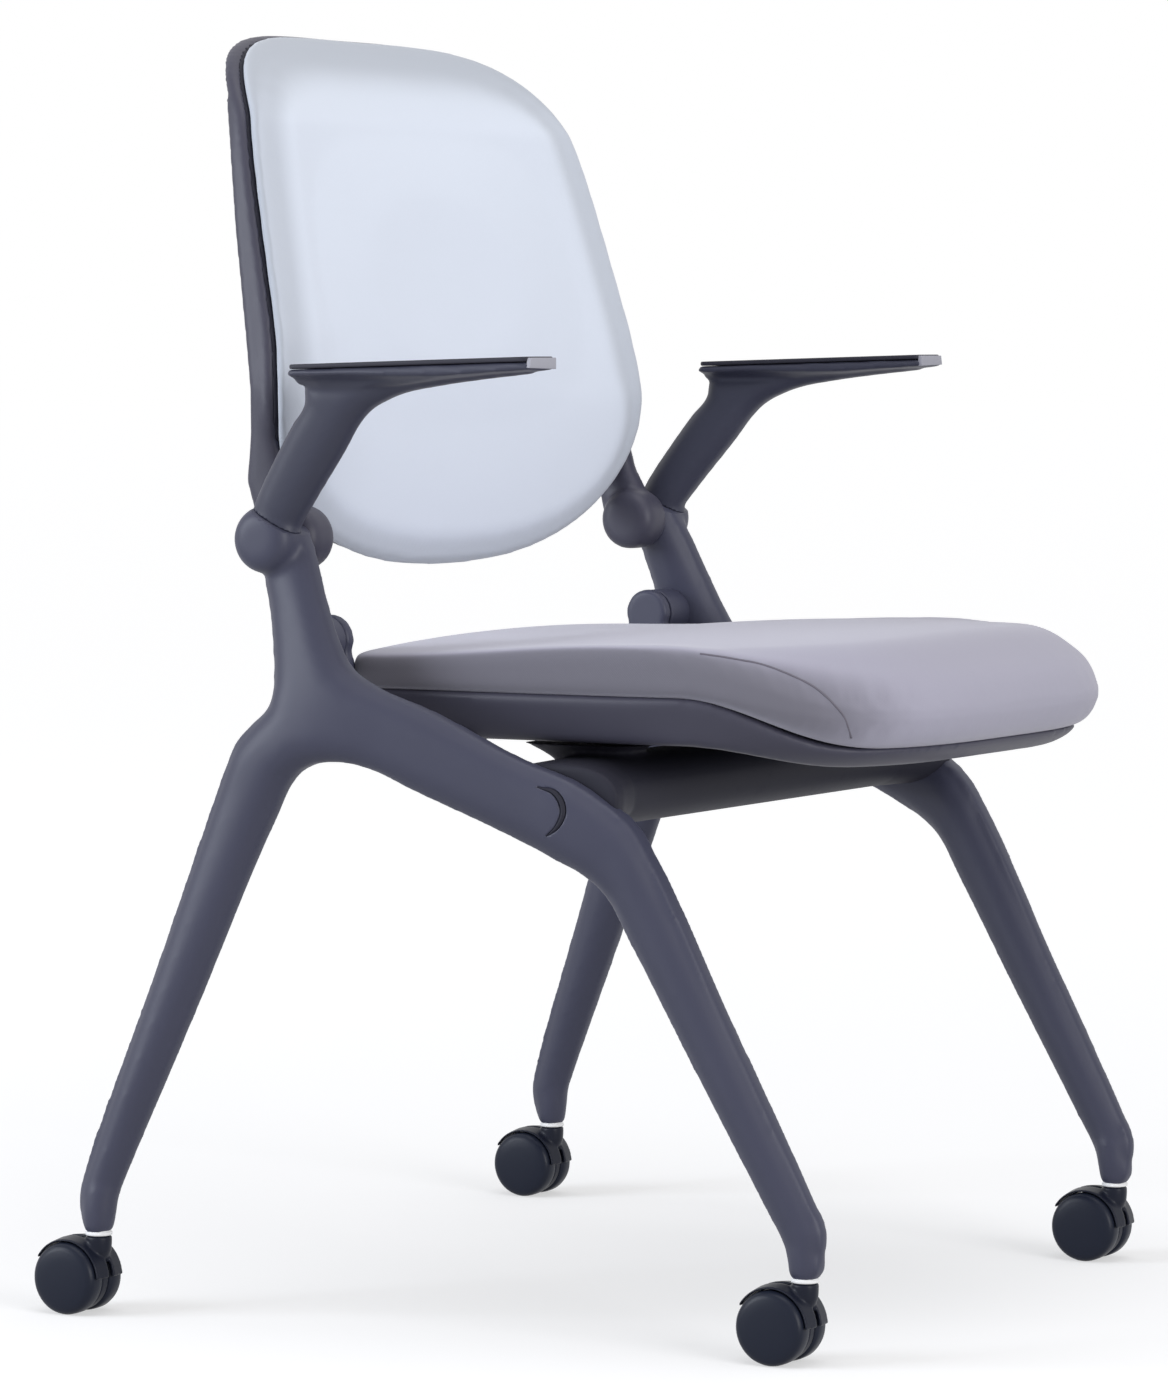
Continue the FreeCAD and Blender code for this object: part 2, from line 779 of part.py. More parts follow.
def arm_foot():
    """Centre of the bulb that carries the arm."""
    x0 = hub_seam_x() + knuckle_gap / 2.0
    return (0.5 * (x0 + hub_x + hub_len / 2.0 - cap_t), hub_y, hub_z)


def arm_axis():
    """Unit vector up the stalk of the arm, leaning forwards and outwards."""
    rise = arm_top_z - hub_z
    run = rise * math.tan(math.radians(stalk_lean))
    foot = arm_foot()
    return direction(foot, (arm_x, hub_y - run, arm_top_z))


def along_arm(t):
    """A point on the stalk's centre line, t from the hub's axis."""
    foot = arm_foot()
    axis = arm_axis()
    return tuple(f + a * t for f, a in zip(foot, axis))


def arm_socket_root():
    """Neck on the bulb that the arm plugs into."""
    axis = arm_axis()
    low = along_arm(arm_root_h * 0.15)
    return limb([(low, axis, stalk_w, stalk_d), (along_arm(arm_root_h), axis, stalk_w, stalk_d)])


def arm_spigot(grow):
    """Spigot of the arm inside the bulb's neck, grown by a clearance."""
    axis = V(*arm_axis())
    base = V(*along_arm(arm_root_h - spigot_len - grow))
    return Part.makeCylinder(spigot_d / 2.0 + grow, spigot_len + grow + 2.0, base, axis)


def arm_neck_end():
    """Slice of space above the bulb's neck, where the arm's stalk begins."""
    return limb(
        [
            (along_arm(arm_root_h), arm_axis(), 1.5 * stalk_w, 1.5 * stalk_d),
            (along_arm(2.0 * arm_root_h), arm_axis(), 1.5 * stalk_w, 1.5 * stalk_d),
        ]
    )


def arm_lock_screw(grow):
    """Screw from the rear of the neck into the spigot."""
    axis = V(*arm_axis())
    out = V(1, 0, 0).cross(axis)
    if out.y < 0:
        out = out * -1.0
    length = arm_screw_len + arm_screw_sunk
    start = stalk_d / 2.0 + 1.0 - length
    base = V(*along_arm(arm_root_h - spigot_len / 2.0)) + out * start
    return Part.makeCylinder(arm_screw_d / 2.0 + grow, length, base, out)


def arm_slope():
    """Angle that the armrest rises by towards its tip, in degrees."""
    return math.degrees(math.atan2(arm_rise, arm_rear_y - arm_tip_y))


def on_arm_slope(shape):
    """A piece drawn level at the armrest's rear height, tipped to the armrest's slope."""
    shape.rotate(V(arm_x, arm_rear_y, arm_top_z), V(1, 0, 0), -arm_slope())
    return shape


def arm_pad_len():
    """Length of the armrest's top along its slope."""
    return (arm_rear_y - arm_tip_y) / math.cos(math.radians(arm_slope()))


def arm_pad_blank():
    """Whole top of the armrest with its rounded corners and edges."""
    length = arm_pad_len()
    corner = V(arm_x - arm_pad_w / 2.0, arm_rear_y - length, arm_top_z - arm_pad_t)
    box = Part.makeBox(arm_pad_w, length, arm_pad_t, corner)
    box = box.makeFillet(arm_corner_r, [e for e in box.Edges if e.BoundBox.ZLength > arm_pad_t / 2.0])
    return box.makeFillet(arm_pad_edge_r, [e for e in box.Edges if e.BoundBox.ZMin > arm_top_z - 0.01])


def arm_tip_box(extra):
    """Space of the light inlay at the front of the armrest."""
    width = 4.0 * arm_pad_w
    length = 2.0 * arm_pad_w
    height = 8.0 * arm_pad_t
    rear_y = arm_rear_y - arm_pad_len() + arm_tip_len + extra
    corner = V(arm_x - width / 2.0, rear_y - length, arm_top_z - height / 2.0)
    return Part.makeBox(width, length, height, corner)


def arm_pad():
    """Soft top of the armrest behind its tip."""
    return on_arm_slope(arm_pad_blank().cut(arm_tip_box(arm_pad_gap)))


def arm_tip():
    """Light inlay at the front of the armrest."""
    return on_arm_slope(arm_pad_blank().common(arm_tip_box(0.0)))


def arm_beam_stations():
    """Support under the armrest, deepest over the stalk."""
    z = arm_top_z - arm_pad_t
    front = arm_tip_y + 3.0
    rear = arm_rear_y - 4.0
    length = rear - front
    ends = [(0.0, arm_beam_tip_t), (1.0, arm_beam_tip_t)]
    middle = [(share, part * arm_beam_t) for share, part in ((0.3, 0.45), (0.62, 1.0), (0.85, 0.8))]
    out = []
    for share, t in sorted(ends + middle):
        out.append(((arm_x, front + share * length, z - t / 2.0), (0, 1, 0), arm_beam_w, t))
    return out


def arm():
    """Stalk and beam of the left arm in one piece, with its spigot."""
    axis = arm_axis()
    top = (arm_top_z - hub_z) / axis[2]
    stalk = limb(
        [
            (along_arm(arm_root_h + arm_joint_gap), axis, stalk_w, stalk_d),
            (along_arm(0.5 * top), axis, stalk_w, 0.5 * (stalk_d + stalk_top_d)),
            (along_arm(0.8 * top), axis, stalk_w + 2.0, stalk_top_d),
            (along_arm(1.1 * top), axis, stalk_w + 4.0, stalk_top_d + 3.0),
        ]
    )
    beam = on_arm_slope(limb(arm_beam_stations()))
    low = along_arm(0.72 * top)
    front = stalk_top_d / 2.0 / math.cos(math.radians(stalk_lean))
    z1 = arm_top_z - arm_pad_t
    web = side_profile(
        [
            (low[1], low[2]),
            (low[1] - front + 6.0, low[2]),
            (low[1] - front - 22.0, z1 - 24.0, 1),
            (low[1] - front - 62.0, z1 - 8.0),
            (low[1] - front - 40.0, z1 - 4.0),
            (low[1], z1 - 4.0),
        ],
        arm_x - arm_web_t / 2.0 - 3.0,
        arm_x + arm_web_t / 2.0 - 3.0,
    )
    body = fused([stalk, beam, web])
    reach = arm_rear_y - arm_tip_y
    corner = V(arm_x - reach, arm_rear_y - 2.0 * reach, arm_top_z - arm_pad_t - arm_pad_gap)
    body = body.cut(on_arm_slope(Part.makeBox(2.0 * reach, 4.0 * reach, reach, corner)))
    body = fused([body, arm_spigot(0.0)])
    cap_x = hub_x + hub_len / 2.0 - cap_t
    room_d = hub_d + 2.0 * arm_joint_gap
    body = body.cut(across_x(cap_x - arm_joint_gap, cap_x + 4.0 * cap_t, hub_y, hub_z, room_d))
    return body.cut(arm_lock_screw(bolt_clear))


# The seat: sections square to the fore-and-aft direction

def seat_share(y):
    """How far forward of the widest place, 0 there and 1 at the nose."""
    return max(0.0, (seat_widest_y - y) / (seat_widest_y - seat_nose_y))


def seat_half(y):
    """Half the seat's width at a place along it."""
    if y <= seat_widest_y:
        return seat_half_w * max(0.0, 1.0 - seat_share(y) ** seat_nose_n) ** (1.0 / seat_nose_n)
    rear_share = (y - seat_widest_y) / (seat_rear_y + seat_rear_bow - seat_widest_y)
    return seat_half_w * max(0.0, 1.0 - rear_share ** seat_rear_n) ** (1.0 / seat_corner_n)


def smooth_step(t):
    """From 0 to 1 with level ends."""
    t = min(1.0, max(0.0, t))
    return t * t * (3.0 - 2.0 * t)


def seam_z(y):
    """Height of the line where cushion and shell meet."""
    t = smooth_step((seat_dip_rear_y - y) / (seat_dip_rear_y - seat_dip_front_y))
    return seat_side_z + (seat_front_z - seat_side_z) * t


def shell_z(y):
    """Height of the shell's underside."""
    t = smooth_step((seat_dip_rear_y - y) / (seat_dip_rear_y - seat_dip_front_y))
    return seam_z(y) - shell_side_h - (shell_front_h - shell_side_h) * t


def cushion_z(y):
    """Height of the cushion's upper edge."""
    rise = smooth_step((seat_rear_y - y) / (seat_rear_y + 110.0))
    drop = (cushion_top_z - cushion_nose_z) * seat_share(y) ** cushion_nose_power
    return cushion_rear_z + (cushion_top_z - cushion_rear_z) * rise - drop


def line_arc_wire(points):
    """A closed flat wire; a point marked True at its end is passed by an arc."""
    edges = []
    n = len(points)
    i = 0
    while i < n:
        start = points[i][0]
        nxt, through = points[(i + 1) % n]
        if through:
            end = points[(i + 2) % n][0]
            edges.append(Part.Arc(start, nxt, end).toShape())
            i += 2
        else:
            edges.append(Part.LineSegment(start, nxt).toShape())
            i += 1
    return Part.Wire(edges)


def cushion_section(y, shrink):
    """Section of the cushion: flat base, bulged sides, crowned top."""
    w = max(seat_half(y), seat_end_half)
    z0 = seam_z(y) + cushion_gap + shrink
    z1 = cushion_z(y) - shrink
    edge = min(cushion_edge_in, 0.3 * (z1 - z0) + 1.0)
    crown = cushion_crown * min(1.0, w / seat_half_w)
    mid = 0.5 * (z0 + z1)
    pts = [
        (V(-w + cushion_side_bulge, y, z0), False),
        (V(w - cushion_side_bulge, y, z0), False),
        (V(w, y, mid), True),
        (V(w - edge, y, z1), False),
        (V(0, y, z1 + crown), True),
        (V(-w + edge, y, z1), False),
        (V(-w, y, mid), True),
    ]
    return line_arc_wire(pts)


def seat_stations(y_rear, y_nose):
    """Places along the seat where its sections stand, the same for all its layers."""
    rear = seat_rear_y + seat_rear_bow
    steps = [rear - back for back in (0.0, 4.0, 8.0, 11.0, 16.0, 24.0, 60.0)]
    steps += [-20.0, -90.0, -132.0, -150.0, -165.0, -180.0, -195.0, -210.0, -222.0, -235.0]
    steps += [-245.0, -255.0, -263.0, -270.0, -277.0, -283.0, -288.0]
    steps += [seat_nose_y + 8.0, seat_nose_y + 3.0, seat_nose_y]
    inside = [y for y in steps if y_nose + 1.0 < y < y_rear - 1.0]
    return [y_rear] + inside + [y_nose]


def cushion_shrink(y):
    """How much the cushion closes at its top and base towards its rear and its nose."""
    rear = seat_rear_y + seat_rear_bow
    nose_steps = ((0.0, 18.0), (3.0, 12.5), (8.0, 8.0), (17.0, 3.5), (30.0, 1.0), (45.0, 0.0))
    rear_steps = ((24.0, 0.0), (11.0, 0.5), (4.0, 3.0), (0.0, 9.0))
    table = [(seat_nose_y + step, close) for step, close in nose_steps]
    table += [(rear - step, close) for step, close in rear_steps]
    for (ya, a), (yb, b) in zip(table, table[1:]):
        if ya <= y <= yb:
            return a + (b - a) * (y - ya) / (yb - ya)
    return 0.0


def seat_cushion():
    """Upholstered cushion with its crown, its bulged sides and its waterfall nose."""
    places = seat_stations(seat_rear_y + seat_rear_bow, seat_nose_y)
    wires = [cushion_section(y, cushion_shrink(y)) for y in places]
    return Part.makeLoft(wires, True, True)


def shell_loft(inset, low, high, y_rear, y_nose):
    """A tray-like body under the cushion between two heights given as functions of y."""
    wires = []
    for y in seat_stations(y_rear, y_nose):
        w = max(seat_half(y), seat_end_half + 3.0) - inset
        z0 = low(y)
        z1 = high(y)
        draft = shell_inset * min(1.0, (z1 - z0) / shell_side_h)
        pts = [
            (V(-w + draft, y, z0), False),
            (V(w - draft, y, z0), False),
            (V(w, y, z1), False),
            (V(-w, y, z1), False),
        ]
        wires.append(line_arc_wire(pts))
    return Part.makeLoft(wires, True, True)


def seat_columns():
    """Columns in the shell that the hinge's screws go through."""
    columns = []
    for side in (-1, 1):
        for y in seat_screw_places():
            top = seam_z(y) - board_t - board_clear
            columns.append(up_z(side * seat_screw_x(), y, shell_z(y), top, seat_column_d))
    return columns


def seat_shell():
    """Moulded tray under the seat, with ribs that the board rests on."""
    rear = seat_rear_y + seat_rear_bow - 1.0
    nose = seat_nose_y + nose_overhang
    wall = 1.0 + shell_wall
    outer = shell_loft(1.0, shell_z, seam_z, rear, nose)
    inner = shell_loft(
        wall,
        lambda y: shell_z(y) + shell_floor,
        lambda y: seam_z(y) + 1.0,
        rear - shell_wall,
        nose + shell_wall,
    )
    under_board = shell_loft(
        wall,
        lambda y: shell_z(y) + 0.5 * shell_floor,
        lambda y: seam_z(y) - board_t - board_clear,
        rear - shell_wall,
        nose + shell_wall,
    )
    low = shell_z(seat_nose_y) - 2.0 * shell_side_h
    high = 2.0 * seat_side_z - low
    length = rear - seat_nose_y
    ribs = []
    for k in range(rib_count):
        x = (k - (rib_count - 1) / 2.0) * rib_pitch_x
        y = rib_first_y + k * rib_pitch_y
        corner = V(x - rib_t / 2.0, rear - 1.5 * length, low)
        ribs.append(Part.makeBox(rib_t, 2.0 * length, high - low, corner))
        ribs.append(Part.makeBox(4.0 * seat_half_w, rib_t, high - low, V(-2.0 * seat_half_w, y, low)))
    lattice = ribs[0].multiFuse(ribs[1:]).common(under_board)
    body = fused([outer.cut(inner), lattice] + seat_columns())
    for screw in seat_screw_solids(0.2):
        body = body.cut(screw)
    return body


def seat_board():
    """Moulded board inside the shell that the foam sits on."""
    rear = seat_rear_y + seat_rear_bow - 1.0 - shell_wall - board_clear
    nose = seat_nose_y + nose_overhang + shell_wall + board_clear
    inset = 1.0 + shell_wall + 3.0 * board_clear
    body = shell_loft(inset, lambda y: seam_z(y) - board_t, seam_z, rear, nose)
    for screw in seat_screw_solids(0.2):
        body = body.cut(screw)
    return body


def seat_screw_solids(grow):
    """Screws from the hinge feet up into the board, both sides."""
    low = shell_bottom_z() - hinge_foot_t - hinge_seat_gap
    out = []
    for side in (-1, 1):
        for y in seat_screw_places():
            x = side * seat_screw_x()
            shank = up_z(x, y, low, seam_z(y) - 2.0, seat_screw_d + 2.0 * grow)
            head = up_z(x, y, low - seat_screw_head_h, low, seat_screw_head_d + 2.0 * grow)
            out.append(fused([shank, head]))
    return out


# The backrest: level sections at stations up its height

def back_half(z):
    """Half the backrest's width at a height."""
    if z < back_ref_z:
        low = (back_ref_z - z) / (back_ref_z - back_bottom_z)
        return back_half_w * max(0.0, 1.0 - low ** back_low_power) ** (1.0 / back_low_power)
    high = (z - back_ref_z) / (back_top_z - back_ref_z)
    straight = back_half_w - back_taper * (z - back_ref_z)
    return straight * max(0.0, 1.0 - high ** back_corner_power) ** (1.0 / back_corner_root)


def back_mid_y(z):
    """Where the seam of pad and frame stands at the middle of the back, at a height."""
    y = back_edge_y + back_bow + back_lean * (z - back_ref_z)
    if z < back_ref_z:
        low = (back_ref_z - z) / (back_ref_z - back_bottom_z)
        return y + back_lumbar * low ** 1.4
    high = max(0.0, z - back_roll_z) / (back_top_z - back_roll_z)
    return y + back_roll * high ** 1.3


def back_y(x, z):
    """Seam surface of the backrest: bowed to the rear at the middle."""
    return back_mid_y(z) - back_bow * (x / back_half_w) ** 2


def back_section(z, inset, front, rear, bevel):
    """Level section of a layer of the back between two offsets from the seam surface."""
    w = max(back_half(z), back_end_half) - inset
    wb = w - bevel
    wf = w - min(pad_edge_in, 0.1 * w) if bevel > 0.0 else w
    edge_front = front if bevel == 0.0 else front + (pad_face_t - pad_edge_t) * back_thin(z)
    pts = [
        (V(-w, back_y(w, z) + rear, z), False),
        (V(0, back_y(0, z) + rear, z), True),
        (V(w, back_y(w, z) + rear, z), False),
        (V(wf, back_y(w, z) + edge_front, z), False),
    ]
    if bevel > 0.0:
        pts.append((V(wb, back_y(wb, z) + front, z), False))
    crown = (pad_crown_t - pad_face_t) * back_thin(z) if bevel > 0.0 else 0.0
    pts.append((V(0, back_y(0, z) + front - crown, z), True))
    if bevel > 0.0:
        pts.append((V(-wb, back_y(wb, z) + front, z), False))
    pts.append((V(-wf, back_y(w, z) + edge_front, z), False))
    return line_arc_wire(pts)


def back_thin(z):
    """Share of the pad's full thickness at a height, less towards its two ends."""
    room = min(z - back_bottom_z, back_top_z - z)
    return smooth_step(room / pad_bevel_w)


def back_stations(low_in, high_in):
    """Heights for the layers of the back, the same for all of them, close together towards both ends."""
    low = back_bottom_z + low_in
    high = back_top_z - high_in
    shares = [0.0, 0.004, 0.01, 0.02, 0.035, 0.055, 0.08, 0.115, 0.16, 0.21, 0.27, 0.34, 0.44]
    shares += [0.56, 0.68, 0.78, 0.84, 0.88, 0.91, 0.935, 0.955, 0.972, 0.985, 0.994, 1.0]
    steps = [back_bottom_z + (back_top_z - back_bottom_z) * t for t in shares]
    return [low] + [z for z in steps if low + 0.5 < z < high - 0.5] + [high]


def back_pad():
    """Upholstered pad of the backrest with its bevelled border."""
    wires = []
    for z in back_stations(0.0, 0.0):
        t = pad_edge_t * pad_end_share
        share = back_thin(z)
        front = -(t + (pad_face_t - t) * share)
        wires.append(back_section(z, 0.0, front, -pad_gap, min(pad_bevel_w, 0.45 * back_end_half)))
    return Part.makeLoft(wires, True, True)


def back_layer(inset, front, rear, low_in, high_in):
    """A layer of the back of even thickness."""
    wires = []
    for z in back_stations(low_in, high_in):
        wires.append(back_section(z, inset, front, rear, 0.0))
    return Part.makeLoft(wires, True, True)


def back_upright():
    """Left spine of the back frame, from its knuckle up the edge of the tray."""
    wires = []
    low_x = hub_x - hub_len / 2.0 + knuckle_len / 2.0 + 1.0
    stations = [
        (low_x, hub_y + 6.0, hub_z + 4.0, knuckle_len - 4.0, hub_d - 8.0),
        (low_x + 0.5, hub_y + 7.0, hub_z + 29.0, knuckle_len - 5.0, upright_low_d),
    ]
    upper = ((607.0, upright_mid_d), (680.0, 21.0), (750.0, 18.0), (800.0, 15.0), (838.0, upright_top_d))
    for z, depth in upper:
        x = back_half(z) - tray_inset - upright_w / 2.0
        stations.append((x, back_y(x, z) + depth / 2.0, z, upright_w, depth))
    for x, y, z, width, depth in stations:
        wires.append(rounded_section(V(x, y, z), V(0, 0.2, 1), V(1, 0, 0), width / 2.0, depth / 2.0))
    return Part.makeLoft(wires, True, False)


def back_knuckle():
    """Left knuckle of the back frame with the room for its spring and shaft."""
    x0 = hub_x - hub_len / 2.0
    return across_x(x0, x0 + knuckle_len, hub_y, hub_z, hub_d)


def back_frame():
    """Moulded tray behind the pad with its two spines and hinge knuckles."""
    wall = tray_inset + tray_wall
    ends = tray_end_in + tray_wall
    board_rear = back_board_t + board_clear
    outer = back_layer(tray_inset, 0.0, tray_depth, tray_end_in, tray_end_in)
    inner = back_layer(wall, -2.0, tray_depth - tray_wall, ends, ends)
    tray = outer.cut(inner)
    tall = 2.0 * (back_top_z - back_bottom_z)
    ribs = []
    for k in range(back_rib_count):
        x = (k - (back_rib_count - 1) / 2.0) * back_rib_pitch
        corner = V(x - rib_t / 2.0, 0.0, back_bottom_z - 0.25 * tall)
        ribs.append(Part.makeBox(rib_t, tall, tall, corner))
    ribs = ribs[0].multiFuse(ribs[1:])
    ribs = ribs.common(back_layer(wall, board_rear, tray_depth - 0.5 * tray_wall, ends, ends))
    spine = back_upright()
    pad_side = back_layer(-20.0, -60.0, -0.01, -2.0, -2.0)
    board_room = back_layer(wall, -2.0, board_rear, ends, ends)
    spines = fused([spine, back_knuckle()]).cut(pad_side).cut(board_room)
    body = fused([tray, ribs, spines, mirrored(spines)])
    x0 = hub_x - hub_len / 2.0
    x1 = x0 + knuckle_len
    hollow = across_x(x0 + knuckle_wall, x1 + 1.0, hub_y, hub_z, shaft_d + 2.0 * shaft_clear)
    cavity = across_x(x1 - spring_len - 0.2, x1 + 1.0, hub_y, hub_z, spring_d + 2.0 * spring_clear)
    for room in (hollow, cavity):
        body = body.cut(room)
        body = body.cut(mirrored(room))
    for screw in back_screw_solids(0.2):
        body = body.cut(screw)
    return body


def back_board():
    """Moulded board inside the tray that the pad is upholstered on."""
    inset = tray_inset + tray_wall + board_clear
    ends = tray_end_in + tray_wall + board_clear
    body = back_layer(inset, board_clear, back_board_t, ends, ends)
    for screw in back_screw_solids(0.2):
        body = body.cut(screw)
    return body


def back_screw_solids(grow):
    """Screws from behind the tray into the board."""
    out = []
    for x in (-back_screw_x, back_screw_x):
        for z in back_screw_heights:
            tip = V(x, back_y(x, z) + 2.0, z)
            seat = V(x, back_y(x, z) + tray_depth - 1.0, z)
            shank = Part.makeCylinder(back_screw_d / 2.0 + grow, tray_depth - 1.0, tip, V(0, 1, 0))
            head = Part.makeCylinder(back_screw_head_d / 2.0 + grow, back_screw_head_h, seat, V(0, 1, 0))
            out.append(fused([shank, head]))
    return out


def compound(shapes):
    """Several separate pieces of one kind as one node."""
    return Part.makeCompound([s for shape in shapes for s in shape.Solids])


def both(shape):
    """A piece of the left side and its twin of the right side."""
    return compound([shape, mirrored(shape)])


def caster_parts(prefix, x, y):
    """All pieces of one caster by node name."""
    return {
        prefix + "_caster_hood": caster_hood(x, y),
        prefix + "_caster_stem": caster_stem(x, y),
        prefix + "_caster_axle": caster_axle(x, y),
        prefix + "_wheel_left": caster_wheel(x, y, 1),
        prefix + "_wheel_right": caster_wheel(x, y, -1),
    }


def sided(parts):
    """Pieces made for the left side, and the same pieces mirrored for the right side."""
    out = {}
    for name, shape in parts.items():
        out["left_" + name] = shape
        out["right_" + name] = mirrored(shape)
    return out


def all_nodes():
    """Every node of the chair by name."""
    nodes = sided(
        {
            "rear_frame": rear_frame(),
            "front_leg": front_leg(),
            "hub_shaft": hub_shaft(),
            "hub_cap": hub_cap(),
            "seat_pin": seat_pin(),
            "seat_bush": seat_bush(),
            "seat_hinge": seat_hinge(),
            "arm": arm(),
            "arm_pad": arm_pad(),
            "arm_tip": arm_tip(),
            "tilt_spring": tilt_spring(),
        }
    )
    nodes["crossbeam"] = crossbeam()
    nodes["seat_rests"] = both(seat_rest())
    nodes["seat_rest_buffers"] = both(seat_rest_buffer())
    nodes["frame_bolts"] = both(compound(rail_bolts(0.0)))
    nodes["arm_screws"] = both(arm_lock_screw(0.0))
    nodes["seat_shell"] = seat_shell()
    nodes["seat_board"] = seat_board()
    nodes["seat_cushion"] = seat_cushion()
    nodes["seat_screws"] = compound(seat_screw_solids(0.0))
    nodes["back_frame"] = back_frame()
    nodes["back_board"] = back_board()
    nodes["back_pad"] = back_pad()
    nodes["back_screws"] = compound(back_screw_solids(0.0))
    sockets = []
    for row, x, y in (("front", front_foot_x, -foot_y), ("rear", rear_foot_x, foot_y)):
        for side, sx in (("left", 1), ("right", -1)):
            nodes.update(caster_parts(row + "_" + side, sx * x, y))
            sockets.append(caster_socket(sx * x, y))
    nodes["caster_sockets"] = compound(sockets)
    return nodes


def export_all():
    """Write one file for each node."""
    os.makedirs("parts", exist_ok=True)
    for name, shape in sorted(all_nodes().items()):
        shape.exportStep("parts/" + name + ".step")


if __name__ == "__main__":
    export_all()
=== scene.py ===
import json
import logging
import math
from dataclasses import dataclass
from enum import Enum
from typing import Any, Callable, Iterable, Optional, Sequence

import bmesh
import bpy
from mathutils import Matrix, Vector
from mathutils.bvhtree import BVHTree
from mathutils.kdtree import KDTree

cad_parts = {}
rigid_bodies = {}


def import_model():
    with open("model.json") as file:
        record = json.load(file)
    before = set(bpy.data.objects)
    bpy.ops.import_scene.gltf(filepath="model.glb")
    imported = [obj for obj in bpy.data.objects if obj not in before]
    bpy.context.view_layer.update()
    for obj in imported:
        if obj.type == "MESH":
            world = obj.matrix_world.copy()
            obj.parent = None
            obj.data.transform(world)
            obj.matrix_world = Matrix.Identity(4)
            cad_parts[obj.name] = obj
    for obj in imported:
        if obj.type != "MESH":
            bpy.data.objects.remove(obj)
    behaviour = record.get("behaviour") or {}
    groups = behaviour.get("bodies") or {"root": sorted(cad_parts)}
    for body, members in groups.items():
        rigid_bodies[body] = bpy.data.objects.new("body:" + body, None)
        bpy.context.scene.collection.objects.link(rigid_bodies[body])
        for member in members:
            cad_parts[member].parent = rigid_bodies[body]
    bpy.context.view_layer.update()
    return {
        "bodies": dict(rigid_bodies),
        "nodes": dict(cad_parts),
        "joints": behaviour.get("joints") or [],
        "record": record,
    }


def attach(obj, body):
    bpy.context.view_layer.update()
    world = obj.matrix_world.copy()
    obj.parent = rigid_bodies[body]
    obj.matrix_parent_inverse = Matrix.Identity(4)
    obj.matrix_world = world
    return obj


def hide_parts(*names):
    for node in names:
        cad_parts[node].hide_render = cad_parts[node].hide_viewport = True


# Training chair: its looks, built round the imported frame.
# The frame's axes are +Z up and +X to the sitter's left, and the sitter faces -Y.
# Places and sizes in the classes are millimetres; the mesh tools take metres unless they say otherwise.

LOG = logging.getLogger("training_chair")
MM = 0.001
MERGE = 1e-6
ACROSS, ALONG, UP = Vector((1.0, 0.0, 0.0)), Vector((0.0, 1.0, 0.0)), Vector((0.0, 0.0, 1.0))
Point = tuple[float, float]
Triple = tuple[float, float, float]
Line = tuple[Point, Point]


class Side(Enum):
    """Which side of the chair a piece belongs to, as the sign of its X."""

    LEFT = 1
    RIGHT = -1

    @property
    def word(self) -> str:
        """The side's name as the frame's nodes have it."""
        return self.name.lower()


class Row(Enum):
    """Front or rear pair of casters, as the sign of its Y."""

    FRONT = -1
    REAR = 1

    @property
    def word(self) -> str:
        """The row's name as the frame's nodes have it."""
        return self.name.lower()


# X and Y of the left caster stems, and the Y and Z of the back's pivot and of the slanting joint over it.
FEET: dict[Row, Point] = {Row.FRONT: (244.0, 257.3), Row.REAR: (311.5, 257.3)}
HUB: Point = (140.8, 536.2)
JOINT_LINE: Line = ((117.4, 539.6), (148.7, 556.2))


def smooth_step(t: float) -> float:
    """From 0 to 1 with level ends."""
    t = min(1.0, max(0.0, t))
    return t * t * (3.0 - 2.0 * t)


def mix(a: float, b: float, t: float) -> float:
    """The value a share t of the way from a to b."""
    return a + (b - a) * t


def ramp(start: float, end: float, at: float) -> float:
    """From 0 at start to 1 at end with level ends."""
    return smooth_step((at - start) / (end - start))


def on_line(line: Line, at: float) -> float:
    """The second coordinate of a straight line where the first one is given."""
    (a, low), (b, high) = line
    return mix(low, high, (at - a) / (b - a))


def shrunk(x: float, y: float, middle: float, by: float) -> Point:
    """A place drawn by a distance towards the point (0, middle).

    Args:
        x: the place's first coordinate.
        y: its second coordinate.
        middle: second coordinate of the point that it is drawn to.
        by: how far it is drawn.

    Returns:
        The new place.
    """
    size = math.hypot(x, y - middle)
    keep = (size - by) / size
    return x * keep, middle + (y - middle) * keep


# Shaders

